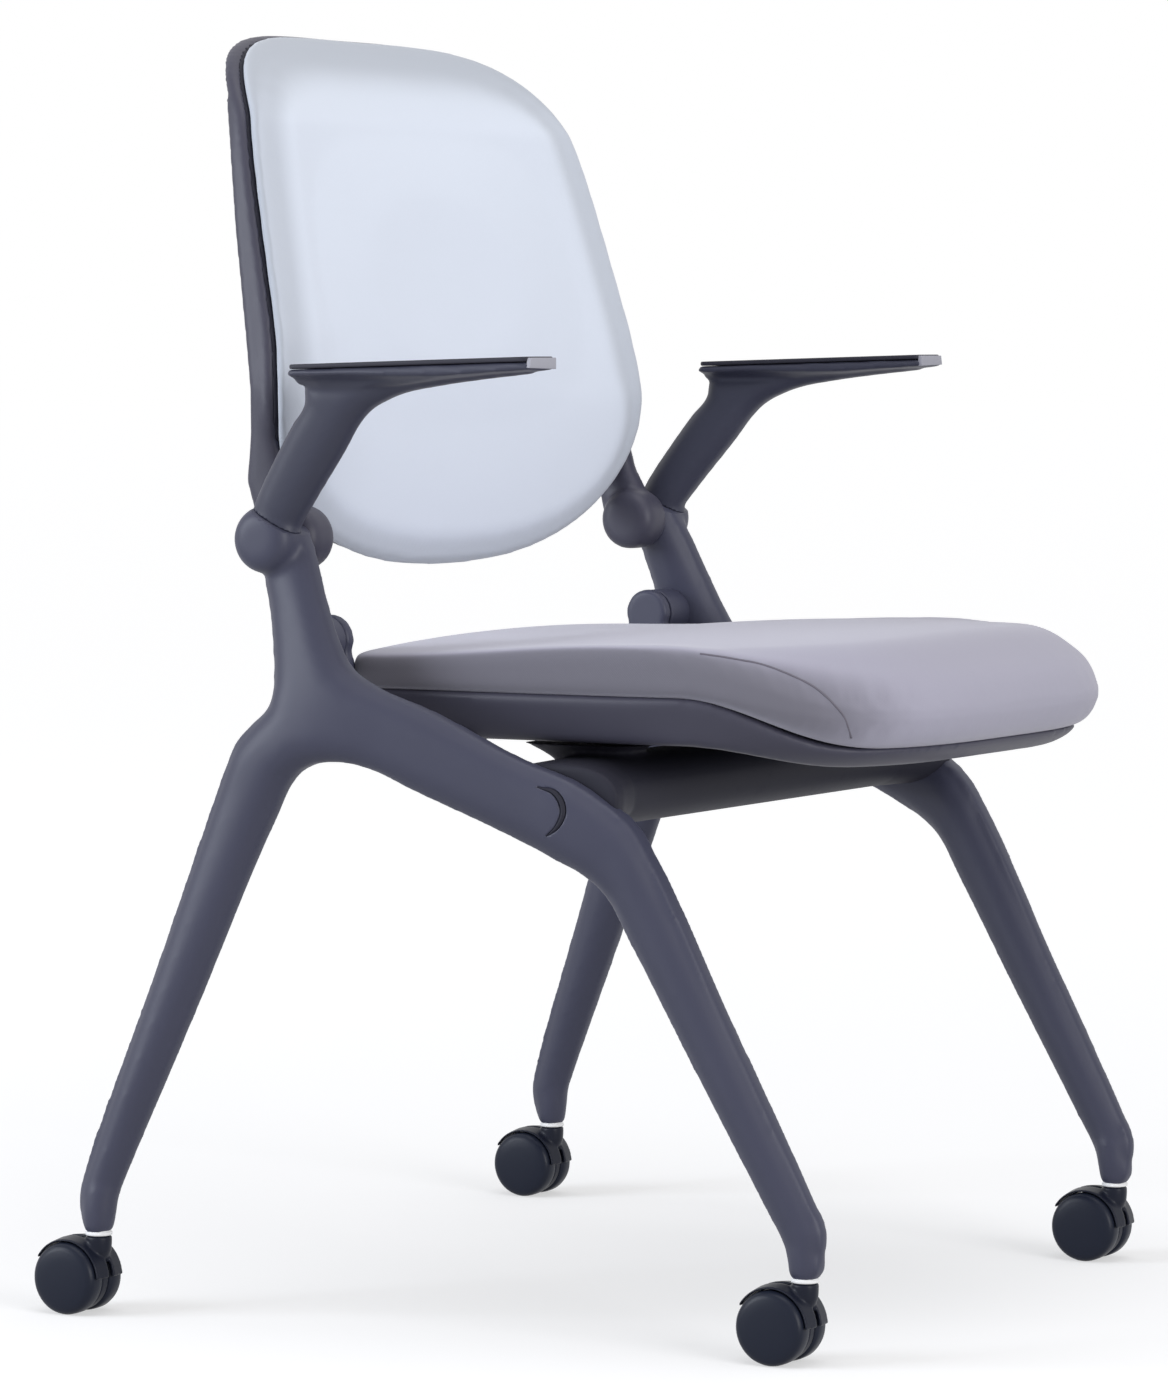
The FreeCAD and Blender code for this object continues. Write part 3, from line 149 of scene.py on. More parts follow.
class Value:
    """A shader socket or a number, with operators that add Math nodes."""

    def __init__(self, tree: bpy.types.NodeTree, source: Any) -> None:
        """Keeps the tree and the socket or number."""
        self.tree = tree
        self.source = source

    def _math(self, operation: str, *others: Any, clamp: bool = False) -> "Value":
        """Adds a Math node.

        Args:
            operation: what the node does.
            others: values, sockets or numbers after this one.
            clamp: holds the result between 0 and 1.

        Returns:
            The node's result.
        """
        node = self.tree.nodes.new("ShaderNodeMath")
        node.operation = operation
        node.use_clamp = clamp
        for index, item in enumerate((self,) + others):
            raw = item.source if isinstance(item, Value) else item
            if isinstance(raw, bpy.types.NodeSocket):
                self.tree.links.new(raw, node.inputs[index])
            else:
                node.inputs[index].default_value = float(raw)
        return Value(self.tree, node.outputs[0])

    def __add__(self, other: Any) -> "Value":
        """This value plus another."""
        return self._math("ADD", other)

    __radd__ = __add__

    def __sub__(self, other: Any) -> "Value":
        """This value less another."""
        return self._math("SUBTRACT", other)

    def __rsub__(self, other: Any) -> "Value":
        """A number less this value."""
        return Value(self.tree, other)._math("SUBTRACT", self)

    def __mul__(self, other: Any) -> "Value":
        """This value times another."""
        return self._math("MULTIPLY", other)

    __rmul__ = __mul__

    def __truediv__(self, other: Any) -> "Value":
        """This value over another."""
        return self._math("DIVIDE", other)

    def __rtruediv__(self, other: Any) -> "Value":
        """A number over this value."""
        return Value(self.tree, other)._math("DIVIDE", self)

    def __abs__(self) -> "Value":
        """The value without its sign."""
        return self._math("ABSOLUTE")

    def sine(self) -> "Value":
        """Sine of the value."""
        return self._math("SINE")

    def clamped(self) -> "Value":
        """The value held between 0 and 1."""
        return self._math("ADD", 0.0, clamp=True)

    def step(self, low: float, high: float) -> "Value":
        """A smooth step up.

        Args:
            low: where it leaves 0.
            high: where it reaches 1.

        Returns:
            The step's height at this value.
        """
        node = self.tree.nodes.new("ShaderNodeMapRange")
        node.interpolation_type = "SMOOTHSTEP"
        self.tree.links.new(self.source, node.inputs["Value"])
        node.inputs["From Min"].default_value = low
        node.inputs["From Max"].default_value = high
        return Value(self.tree, node.outputs["Result"])


def seen_rays(tree: bpy.types.NodeTree) -> Value:
    """Tells the rays that show the surroundings from those that bring their light.

    Args:
        tree: the node tree that asks.

    Returns:
        1 for rays from the camera, off metal or through glass, and 0 for the others.
    """
    path = tree.nodes.new("ShaderNodeLightPath")
    seen = Value(tree, path.outputs["Is Camera Ray"]) + Value(tree, path.outputs["Is Glossy Ray"])
    return (seen + Value(tree, path.outputs["Is Transmission Ray"])).clamped()


class Shade:
    """A material under construction: its node tree and the few nodes that all finishes share."""

    def __init__(self, name: str) -> None:
        """Starts a material with the usual shader.

        Args:
            name: the material's name.
        """
        self.material = bpy.data.materials.new(name)
        self.material.use_nodes = True
        self.tree = self.material.node_tree
        self.shader = self.tree.nodes["Principled BSDF"]
        self._coords: Optional[bpy.types.Node] = None

    def node(self, kind: str, settings: Optional[dict[str, Any]] = None, **inputs: Any) -> bpy.types.Node:
        """A node with its settings made first, then its sockets.

        Args:
            kind: the node's type.
            settings: attributes of the node.
            inputs: socket names, with underscores for spaces, and their values or links.

        Returns:
            The new node.
        """
        node = self.tree.nodes.new(kind)
        for key, value in (settings or {}).items():
            setattr(node, key, value)
        for key, value in inputs.items():
            self.feed(node.inputs[key.replace("_", " ")], value)
        return node

    def feed(self, socket: bpy.types.NodeSocket, value: Any) -> None:
        """Links or sets one socket.

        Args:
            socket: the input.
            value: a value or socket to link, or a constant.
        """
        raw = value.source if isinstance(value, Value) else value
        if isinstance(raw, bpy.types.NodeSocket):
            self.tree.links.new(raw, socket)
        else:
            socket.default_value = raw

    def place(self) -> bpy.types.NodeSocket:
        """Object coordinates.

        Returns:
            The socket that gives them.
        """
        if self._coords is None:
            self._coords = self.node("ShaderNodeTexCoord")
        return self._coords.outputs["Object"]

    def axes(self) -> tuple[Value, Value, Value]:
        """Object coordinates as three values."""
        split = self.node("ShaderNodeSeparateXYZ", Vector=self.place())
        return tuple(Value(self.tree, split.outputs[i]) for i in range(3))

    def facing(self) -> tuple[Value, Value, Value]:
        """How far the surface faces each axis, without sign.

        Returns:
            The share along X, Y and Z.
        """
        geometry = self.node("ShaderNodeNewGeometry")
        split = self.node("ShaderNodeSeparateXYZ", Vector=geometry.outputs["Normal"])
        return tuple(abs(Value(self.tree, split.outputs[i])) for i in range(3))

    def noise(self, size: float, detail: float = 2.0, rough: float = 0.5) -> Value:
        """Cloudy noise.

        Args:
            size: how far its patches measure, in metres.
            detail: how many finer layers it has.
            rough: how strong the finer layers are.

        Returns:
            The noise, from 0 to 1.
        """
        sockets = {"Vector": self.place(), "Scale": 1.0 / size, "Detail": detail, "Roughness": rough}
        return Value(self.tree, self.node("ShaderNodeTexNoise", **sockets).outputs["Fac"])

    def blend(self, share: Any, a: Any, b: Any) -> bpy.types.NodeSocket:
        """Mixes two colours, either of which may be a link.

        Args:
            share: how much of b there is.
            a: the first colour.
            b: the second colour.

        Returns:
            The mixed colour.
        """
        node = self.tree.nodes.new("ShaderNodeMix")
        node.data_type = "RGBA"
        self.feed(node.inputs[0], share)
        for socket, colour in ((node.inputs[6], a), (node.inputs[7], b)):
            self.feed(socket, colour if isinstance(colour, bpy.types.NodeSocket) else (*colour, 1.0))
        return node.outputs[2]

    def bump(self, height: Value, depth: float, strength: float) -> None:
        """Puts a bump on the shader's normal.

        Args:
            height: the relief, from 0 to 1.
            depth: its depth in metres.
            strength: how much of it shows.
        """
        node = self.node("ShaderNodeBump", None, Height=height, Distance=depth, Strength=strength)
        self.feed(self.shader.inputs["Normal"], node.outputs["Normal"])

    def set(self, **inputs: Any) -> None:
        """Sets sockets of the shader; an underscore stands for a space."""
        for key, value in inputs.items():
            self.feed(self.shader.inputs[key.replace("_", " ")], value)


def scaled(colour: Triple, by: float) -> Triple:
    """A colour made lighter or darker."""
    return tuple(min(1.0, c * by) for c in colour)


@dataclass(frozen=True)
class MouldedPlastic:
    """Satin plastic with a fine spark-eroded grain, faint clouding and a few scuffs."""

    name: str
    colour: Triple
    roughness: float = 0.42
    grain: float = 0.0008
    grain_depth: float = 0.00003
    shine: float = 0.28
    clouding: float = 0.1
    cloud_size: float = 0.09
    scuff_size: float = 0.012

    def material(self) -> bpy.types.Material:
        """Builds the material.

        Returns:
            The finished material.
        """
        shade = Shade(self.name)
        cloud = shade.noise(self.cloud_size, 3.0)
        grain = shade.noise(self.grain, 2.0, 0.6)
        scuff = shade.noise(self.scuff_size, 4.0, 0.7).step(0.55, 0.85)
        tone = (cloud * 0.7 + grain * 0.3).clamped()
        dark, light = scaled(self.colour, 1.0 - self.clouding), scaled(self.colour, 1.0 + self.clouding)
        shade.set(
            Base_Color=shade.blend(tone, dark, light),
            Roughness=(scuff * 0.08 + (self.roughness - 0.03) + cloud * 0.06).clamped(),
            Specular_IOR_Level=self.shine,
        )
        shade.bump(grain, self.grain_depth, 0.6)
        return shade.material


@dataclass(frozen=True)
class Upholstery:
    """Close plain-woven cloth: warp and weft in relief, with a heathered colour.

    It has painted shade: darker where it faces sideways (the first side shade), where it turns from the front
    (the second one) and on a pad's border, which an attribute of the mesh marks.
    """

    name: str
    colour: Triple
    thread: float = 0.0009
    relief: float = 0.00012
    heather: float = 0.07
    sheen: float = 0.25
    side_shade: Point = (0.0, 0.0)
    border_shade: float = 0.0
    shade_depth: float = 0.75
    fleck_size: float = 0.0022
    cloud_size: float = 0.06

    def _weave(self, a: Value, b: Value) -> Value:
        """Plain weave on two directions along the cloth."""
        turns = math.pi / self.thread
        return (a * turns).sine() * (b * turns).sine() * 0.5 + 0.5

    def material(self) -> bpy.types.Material:
        """Builds the material.

        Returns:
            The finished material.
        """
        shade = Shade(self.name)
        x, y, z = shade.axes()
        nx, ny, nz = shade.facing()
        woven = self._weave(y, z) * nx + self._weave(x, z) * ny + self._weave(x, y) * nz
        weave = woven / (nx + ny + nz)
        fleck = shade.noise(self.fleck_size, 3.0, 0.65)
        cloud = shade.noise(self.cloud_size, 2.0)
        tone = (weave * 0.35 + fleck * 0.45 + cloud * 0.2).clamped()
        dark, light = scaled(self.colour, 1.0 - self.heather), scaled(self.colour, 1.0 + self.heather)
        across, along = self.side_shade
        # Painted shade: darker where the cloth faces sideways, where it turns from the front and on a pad's
        # border.
        border = nx.step(0.3, 0.97) * across + (1.0 - ny).step(0.06, 0.26) * along
        if self.border_shade:
            rim = shade.node("ShaderNodeAttribute", {"attribute_name": "border"})
            border = border + Value(shade.tree, rim.outputs["Fac"]) * self.border_shade
        in_shade = scaled(self.colour, 1.0 - self.shade_depth)
        shade.set(
            Base_Color=shade.blend(border.clamped(), shade.blend(tone, dark, light), in_shade),
            Roughness=(0.88 - weave * 0.08).clamped(),
            Sheen_Weight=self.sheen,
            Sheen_Roughness=0.5,
        )
        shade.bump(weave * 0.8 + fleck * 0.2, self.relief, 0.5)
        return shade.material


@dataclass(frozen=True)
class PlatedSteel:
    """Zinc-plated steel with fine drawn lines."""

    name: str
    colour: Triple
    roughness: float = 0.32
    lines_per_metre: float = 9000.0
    line_depth: float = 0.00001

    def material(self) -> bpy.types.Material:
        """Builds the material.

        Returns:
            The finished material.
        """
        shade = Shade(self.name)
        _, y, z = shade.axes()
        lines = ((y + z * 0.6) * self.lines_per_metre).sine() * 0.5 + 0.5
        cloud = shade.noise(0.01, 3.0)
        shade.set(
            Base_Color=shade.blend(cloud, scaled(self.colour, 0.85), scaled(self.colour, 1.1)),
            Metallic=1.0,
            Roughness=(self.roughness + lines * 0.08 + cloud * 0.08).clamped(),
        )
        shade.bump(lines, self.line_depth, 0.4)
        return shade.material


class Finishes:
    """Every material of the chair, by the record's slot names."""

    def __init__(self) -> None:
        """Builds all materials."""
        finishes = [
            MouldedPlastic("frame_plastic", (0.045, 0.047, 0.077), 0.46, shine=0.29),
            MouldedPlastic("arm_plastic", (0.038, 0.04, 0.064), 0.46, shine=0.29),
            MouldedPlastic("arm_pad_plastic", (0.024, 0.024, 0.036), 0.55, 0.0011, shine=0.25),
            MouldedPlastic("tip_plastic", (0.34, 0.34, 0.39), 0.5),
            MouldedPlastic("shell_plastic", (0.05, 0.049, 0.072), 0.5),
            # A darker copy of the frame's plastic as painted shade: on the crossbeam under the seat, in the
            # back's gap and in the crescent slot.
            MouldedPlastic("beam_plastic", (0.02, 0.02, 0.03), 0.6, shine=0.15),
            MouldedPlastic("back_plastic", (0.048, 0.047, 0.07), 0.46),
            MouldedPlastic("caster_plastic", (0.009, 0.011, 0.021), 0.36, 0.0015, 0.00001, 0.16),
            MouldedPlastic("wheel_plastic", (0.011, 0.014, 0.026), 0.36, 0.0012, 0.00001, 0.16),
            MouldedPlastic("socket_nylon", (0.85, 0.85, 0.86), 0.5),
            MouldedPlastic("bush_nylon", (0.45, 0.45, 0.45), 0.45),
            MouldedPlastic("buffer_rubber", (0.03, 0.03, 0.034), 0.75, 0.0006, 0.00005),
            MouldedPlastic("board_wood", (0.5, 0.36, 0.22), 0.6, 0.002, 0.0001),
            # Painted shade on the back's cloth where it turns from the front and on its border, and on the
            # seat cloth's sides.
            Upholstery(
                "back_fabric", (0.68, 0.73, 0.83), heather=0.03, side_shade=(0.0, 0.18), border_shade=0.3
            ),
            Upholstery("seat_fabric", (0.34, 0.33, 0.41), heather=0.05, side_shade=(0.8, 0.0)),
            Upholstery("seam_thread", (0.13, 0.12, 0.15), 0.0006, 0.00005, 0.1, 0.0),
            PlatedSteel("steel", (0.62, 0.62, 0.65)),
        ]
        self.by_slot = {finish.name: finish.material() for finish in finishes}

    def dress_nodes(self, frame: dict[str, Any]) -> None:
        """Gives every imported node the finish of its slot.

        Args:
            frame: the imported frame, with its nodes and its record.
        """
        slots = {part["node"]: part["material_slot"] for part in frame["record"]["subparts"]}
        for name, node in frame["nodes"].items():
            node.data.materials.clear()
            node.data.materials.append(self.by_slot[slots[name]])


# Mesh tools

def ring(bm: bmesh.types.BMesh, points: Sequence[Vector]) -> list[bmesh.types.BMEdge]:
    """A closed loop of edges through points, made from a circle of as many vertices.

    Args:
        bm: the mesh to add to.
        points: where the circle's vertices go.

    Returns:
        The loop's edges.
    """
    made = bmesh.ops.create_circle(bm, cap_ends=False, segments=len(points), radius=1.0)
    for vert, point in zip(made["verts"], points):
        vert.co = point
    edges = {edge for vert in made["verts"] for edge in vert.link_edges}
    return list(edges)


def loft(rings: Sequence[Sequence[Vector]]) -> bmesh.types.BMesh:
    """A closed skin over rings of equal count, bridged one to the next.

    Args:
        rings: the loops from one end to the other.

    Returns:
        The new mesh.
    """
    bm = bmesh.new()
    loops = [ring(bm, points) for points in rings]
    for a, b in zip(loops, loops[1:]):
        bmesh.ops.bridge_loops(bm, edges=a + b)
    for loop in (loops[0], loops[-1]):
        bmesh.ops.holes_fill(bm, edges=loop, sides=0)
    bmesh.ops.recalc_face_normals(bm, faces=bm.faces)
    return bm


def oval(
    centre: Vector,
    half_w: float,
    half_d: float,
    power: float,
    count: int,
    right: Vector = ACROSS,
    up: Vector = ALONG,
) -> list[Vector]:
    """Points of a rounded oblong section.

    Args:
        centre: the section's middle, in metres.
        half_w: half the width, in millimetres.
        half_d: half the depth, in millimetres.
        power: 2 is an ellipse, more is squarer.
        count: how many points.
        right: unit vector along the width.
        up: unit vector along the depth.

    Returns:
        The points in order, in metres.
    """
    points = []
    for k in range(count):
        angle = 2.0 * math.pi * k / count
        c, s = math.cos(angle), math.sin(angle)
        u = math.copysign(abs(c) ** (2.0 / power), c) * half_w * MM
        v = math.copysign(abs(s) ** (2.0 / power), s) * half_d * MM
        points.append(centre + right * u + up * v)
    return points


def barrel(x: Point, y: float, z: float, radius: float, edge: float) -> bmesh.types.BMesh:
    """A round bar along X with rounded ends.

    Args:
        x: where it starts and ends, in millimetres.
        y: where its axis lies, in millimetres.
        z: how high its axis lies, in millimetres.
        radius: its radius, in millimetres.
        edge: radius of its rounded ends, in millimetres.

    Returns:
        The mesh.
    """
    x0, x1 = x[0] * MM, x[1] * MM
    bm = bmesh.new()
    turn = Matrix.Translation(((x0 + x1) / 2.0, y * MM, z * MM)) @ Matrix.Rotation(math.pi / 2.0, 4, "Y")
    bmesh.ops.create_cone(
        bm, cap_ends=True, segments=64, radius1=radius * MM, radius2=radius * MM, depth=x1 - x0, matrix=turn
    )
    rims = [e for e in bm.edges if abs(e.verts[0].co.x - e.verts[1].co.x) < 0.1 * MERGE]
    bmesh.ops.bevel(bm, geom=rims, offset=edge * MM, segments=5, profile=0.5, affect="EDGES", material=-1)
    return bm


def from_curve(curve: bpy.types.Curve) -> bmesh.types.BMesh:
    """The closed mesh of a curve, which is removed afterwards.

    Args:
        curve: the curve, which is used up.

    Returns:
        Its mesh.
    """
    holder = bpy.data.objects.new("curve", curve)
    bpy.context.scene.collection.objects.link(holder)
    mesh = bpy.data.meshes.new_from_object(holder.evaluated_get(bpy.context.evaluated_depsgraph_get()))
    bm = bmesh.new()
    bm.from_mesh(mesh)
    bpy.data.objects.remove(holder)
    bpy.data.curves.remove(curve)
    bpy.data.meshes.remove(mesh)
    bmesh.ops.remove_doubles(bm, verts=bm.verts, dist=MERGE)
    bmesh.ops.recalc_face_normals(bm, faces=bm.faces)
    return bm


def slab(outline: Sequence[Point], half_t: float, edge: float, grow: float = 0.0) -> bmesh.types.BMesh:
    """A level slab with smooth sides through an outline, rounded all round.

    Args:
        outline: two coordinates of the outline's points in order, in metres.
        half_t: half its thickness, along Z.
        edge: radius of its rounded edges.
        grow: how far its rim stands outside the outline.

    Returns:
        The mesh, with its middle at Z = 0.
    """
    curve = bpy.data.curves.new("outline", "CURVE")
    curve.dimensions = "2D"
    curve.fill_mode = "BOTH"
    curve.resolution_u = 8
    curve.extrude = half_t - edge
    curve.bevel_depth = edge
    curve.bevel_resolution = 4
    curve.offset = grow - edge
    spline = curve.splines.new("BEZIER")
    spline.bezier_points.add(len(outline) - 1)
    for point, (u, v) in zip(spline.bezier_points, outline):
        point.co = (u, v, 0.0)
        point.handle_left_type = "AUTO"
        point.handle_right_type = "AUTO"
    spline.use_cyclic_u = True
    bm = from_curve(curve)
    bmesh.ops.triangulate(bm, faces=[f for f in bm.faces if len(f.verts) > 4])
    return bm


def traced(
    surface: bpy.types.Object, points: Sequence[Triple], radius: float, taper: bool = False, sink: float = 0.0
) -> bmesh.types.BMesh:
    """A thin round cord that lies on a surface.

    Args:
        surface: the object that it lies on.
        points: places near the surface in millimetres, in order; each goes to the nearest place on it.
        radius: half the cord's thickness, in metres.
        taper: whether it thins out towards its ends.
        sink: how deep its middle lies under the surface.

    Returns:
        The cord's mesh.
    """
    tree = BVHTree.FromObject(surface, bpy.context.evaluated_depsgraph_get())
    curve = bpy.data.curves.new("cord", "CURVE")
    curve.dimensions = "3D"
    curve.bevel_depth = radius
    curve.bevel_resolution = 3
    curve.resolution_u = 6
    curve.use_fill_caps = True
    spline = curve.splines.new("NURBS")
    spline.points.add(len(points) - 1)
    last = len(points) - 1
    for index, (point, place) in enumerate(zip(spline.points, points)):
        near, normal = tree.find_nearest(Vector(place) * MM)[:2]
        point.co = (*(near - normal * sink), 1.0)
        share = 2.0 * abs(index / last - 0.5)
        point.radius = max(0.25, 1.0 - share ** 3) if taper else 1.0
    spline.order_u = 3
    spline.use_endpoint_u = True
    return from_curve(curve)


class Rim:
    """The edge of a slab's outline, which tells how far in from it a place lies."""

    def __init__(self, outline: Sequence[Point], step: float = 1.0 * MM) -> None:
        """Sows points along the outline.

        Args:
            outline: its points in order, in metres.
            step: how far the sown points are apart.
        """
        dense = []
        for (u0, v0), (u1, v1) in zip(outline, list(outline[1:]) + [outline[0]]):
            count = max(1, int(math.hypot(u1 - u0, v1 - v0) / step))
            dense += [(mix(u0, u1, k / count), mix(v0, v1, k / count)) for k in range(count)]
        self.tree = KDTree(len(dense))
        for index, (u, v) in enumerate(dense):
            self.tree.insert((u, v, 0.0), index)
        self.tree.balance()

    def inwards(self, u: float, v: float) -> float:
        """Distance from the place to the rim."""
        return self.tree.find((u, v, 0.0))[2]


def rounded(
    outline: Sequence[Point], half_t: float, radius: float, grow: float, voxel: float
) -> bpy.types.Object:
    """A plate on edge across the chair whose section is rounded right over, as a moulded limb is.

    Args:
        outline: Y and Z of the outline's points in order, in millimetres.
        half_t: half its thickness along X at its thickest, in metres.
        radius: how far in from the rim the full thickness is reached.
        grow: how far its rim stands outside the outline.
        voxel: size of the remesh's voxels.

    Returns:
        The object, with its middle at X = 0.
    """
    edge, slack, power = 1.5 * MM, 0.6 * MM, 2.3
    points = [(y * MM, z * MM) for y, z in outline]
    bm = slab(points, half_t, edge, grow)
    turn = Matrix(((0.0, 0.0, 1.0), (1.0, 0.0, 0.0), (0.0, 1.0, 0.0)))
    bmesh.ops.transform(bm, matrix=turn.to_4x4(), verts=bm.verts)
    piece = fused(as_object("limb", bm), voxel, 0)
    rim = Rim(points)

    def placed(p: Vector) -> Vector:
        """Thins the plate towards its rim.

        Args:
            p: a vertex's place, in metres.

        Returns:
            Its new place.
        """
        deep = min(1.0, (rim.inwards(p.y, p.z) + slack) / radius)
        full = max(0.0, 1.0 - (1.0 - deep) ** power) ** (1.0 / power)
        return Vector((p.x * full, p.y, p.z))

    return moved(piece, placed)


def gathered(parts: Iterable[bmesh.types.BMesh]) -> bmesh.types.BMesh:
    """Several meshes in one, still separate shells.

    Args:
        parts: the meshes, which are used up.

    Returns:
        The mesh that holds them all.
    """
    whole = bmesh.new()
    for part in parts:
        mesh = bpy.data.meshes.new("part")
        part.to_mesh(mesh)
        part.free()
        whole.from_mesh(mesh)
        bpy.data.meshes.remove(mesh)
    return whole


def joined(piece: bpy.types.Object, *parts: bmesh.types.BMesh) -> bpy.types.Object:
    """Adds parts to a piece's mesh, still as loose shells.

    Args:
        piece: the piece.
        parts: the meshes to add, which are used up.

    Returns:
        The same piece.
    """
    whole = bmesh.new()
    whole.from_mesh(piece.data)
    whole = gathered([whole, *parts])
    whole.to_mesh(piece.data)
    whole.free()
    return piece


def block(low: Triple, high: Triple) -> bmesh.types.BMesh:
    """A box between two corners in millimetres.

    Args:
        low: the corner with the least coordinates.
        high: the opposite corner.

    Returns:
        Its mesh.
    """
    bm = bmesh.new()
    bmesh.ops.create_cube(bm, size=1.0)
    bmesh.ops.scale(bm, vec=(Vector(high) - Vector(low)) * MM, verts=bm.verts)
    bmesh.ops.translate(bm, vec=(Vector(low) + Vector(high)) * 0.5 * MM, verts=bm.verts)
    return bm


def hub_half(above: bool, gap: float) -> bmesh.types.BMesh:
    """The space on one side of the slanting joint between arm and hub, as a cutter.

    Args:
        above: whether the cutter lies above the joint.
        gap: how far it reaches across the joint, in metres.

    Returns:
        The cutter on the chair's left.
    """
    reach, inner, outer = 90.0, 215.0, 340.0
    low, high = (0.0, reach) if above else (-reach, 0.0)
    cutter = block((inner, -reach, low), (outer, reach, high))
    bmesh.ops.translate(cutter, vec=(0.0, 0.0, -gap if above else gap), verts=cutter.verts)
    (y0, z0), (y1, z1) = JOINT_LINE
    turn = Matrix.Rotation(math.atan2(z1 - z0, y1 - y0), 4, "X")
    bmesh.ops.transform(cutter, matrix=turn, verts=cutter.verts)
    bmesh.ops.translate(cutter, vec=(0.0, 0.5 * (y0 + y1) * MM, 0.5 * (z0 + z1) * MM), verts=cutter.verts)
    return cutter


def hub_bulb(x: Point) -> bmesh.types.BMesh:
    """The rounded hub about the back's pivot, between two places along X in millimetres."""
    radius, edge = 23.4, 12.5
    return barrel(x, *HUB, radius, edge)


def as_object(name: str, bm: bmesh.types.BMesh) -> bpy.types.Object:
    """An object of that mesh in the scene, smooth shaded.

    Args:
        name: the object's name.
        bm: its mesh, which is used up.

    Returns:
        The object.
    """
    mesh = bpy.data.meshes.new(name)
    bm.to_mesh(mesh)
    bm.free()
    mesh.polygons.foreach_set("use_smooth", [True] * len(mesh.polygons))
    obj = bpy.data.objects.new(name, mesh)
    bpy.context.scene.collection.objects.link(obj)
    return obj


def baked(obj: bpy.types.Object) -> bpy.types.Object:
    """Applies all modifiers of the object to its mesh.

    Args:
        obj: the object.

    Returns:
        The same object.
    """
    graph = bpy.context.evaluated_depsgraph_get()
    graph.update()
    mesh = bpy.data.meshes.new_from_object(obj.evaluated_get(graph))
    old = obj.data
    obj.modifiers.clear()
    obj.data = mesh
    bpy.data.meshes.remove(old)
    mesh.name = obj.name
    mesh.polygons.foreach_set("use_smooth", [True] * len(mesh.polygons))
    return obj


def softened(obj: bpy.types.Object, factor: float, rounds: int) -> None:
    """Adds a smoothing modifier.

    Args:
        obj: the object.
        factor: how far each round goes.
        rounds: how many rounds there are.
    """
    soften = obj.modifiers.new("soften", "SMOOTH")
    soften.factor = factor
    soften.iterations = rounds


def fused(obj: bpy.types.Object, voxel: float, rounds: int) -> bpy.types.Object:
    """Melts an object's shells into one smooth skin.

    Args:
        obj: the object, whose mesh is one or more closed shells.
        voxel: size of the remesh's cells.
        rounds: how many times the skin is smoothed, which sets its fillets.

    Returns:
        The same object.
    """
    melt = obj.modifiers.new("melt", "REMESH")
    melt.mode = "VOXEL"
    melt.voxel_size = voxel
    softened(obj, 0.6, rounds)
    return baked(obj)


def carved(obj: bpy.types.Object, tool: bmesh.types.BMesh) -> bpy.types.Object:
    """Cuts the tool's shape out of the object.

    Args:
        obj: the object.
        tool: the cutter's mesh, which is used up.

    Returns:
        The same object.
    """
    cutter = as_object("cutter", tool)
    cut = obj.modifiers.new("cut", "BOOLEAN")
    cut.operation = "DIFFERENCE"
    cut.solver = "EXACT"
    cut.object = cutter
    baked(obj)
    bpy.data.objects.remove(cutter)
    return obj


def moved(obj: bpy.types.Object, place: Callable[[Vector], Vector], turned: bool = False) -> bpy.types.Object:
    """Moves every vertex of the object by a function of where it is.

    Args:
        obj: the object.
        place: gives a vertex's new place, in metres.
        turned: whether the move turns the mesh inside out, which is then set right.

    Returns:
        The same object.
    """
    for vert in obj.data.vertices:
        vert.co = place(vert.co)
    obj.data.update()
    if turned:
        obj.data.flip_normals()
    return obj


def flipped(bm: bmesh.types.BMesh, side: Side) -> bmesh.types.BMesh:
    """Fits a mesh to its side.

    Args:
        bm: a mesh made for the left side.
        side: the side that it is for.

    Returns:
        The same mesh, mirrored for the right side.
    """
    if side is Side.RIGHT:
        bmesh.ops.scale(bm, vec=(-1.0, 1.0, 1.0), verts=bm.verts)
        bmesh.ops.reverse_faces(bm, faces=bm.faces)
    return bm


def sided(obj: bpy.types.Object, side: Side) -> bpy.types.Object:
    """Fits a piece to its side.

    Args:
        obj: a piece made for the left side.
        side: the side that it is for.

    Returns:
        The same object, mirrored for the right side.
    """
    if side is Side.RIGHT:
        bm = bmesh.new()
        bm.from_mesh(obj.data)
        flipped(bm, side)
        bm.to_mesh(obj.data)
        bm.free()
    return obj


def settle(
    obj: bpy.types.Object, body: str, slot: str, material: bpy.types.Material, *nodes: str
) -> bpy.types.Object:
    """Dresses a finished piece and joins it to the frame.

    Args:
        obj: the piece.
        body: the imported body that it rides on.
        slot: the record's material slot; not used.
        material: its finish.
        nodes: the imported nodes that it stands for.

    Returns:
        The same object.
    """
    obj.data.materials.clear()
    obj.data.materials.append(material)
    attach(obj, body)
    if nodes:
        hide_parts(*nodes)
    LOG.info("%s: %d faces on %s", obj.name, len(obj.data.polygons), body)
    return obj


# Side frames

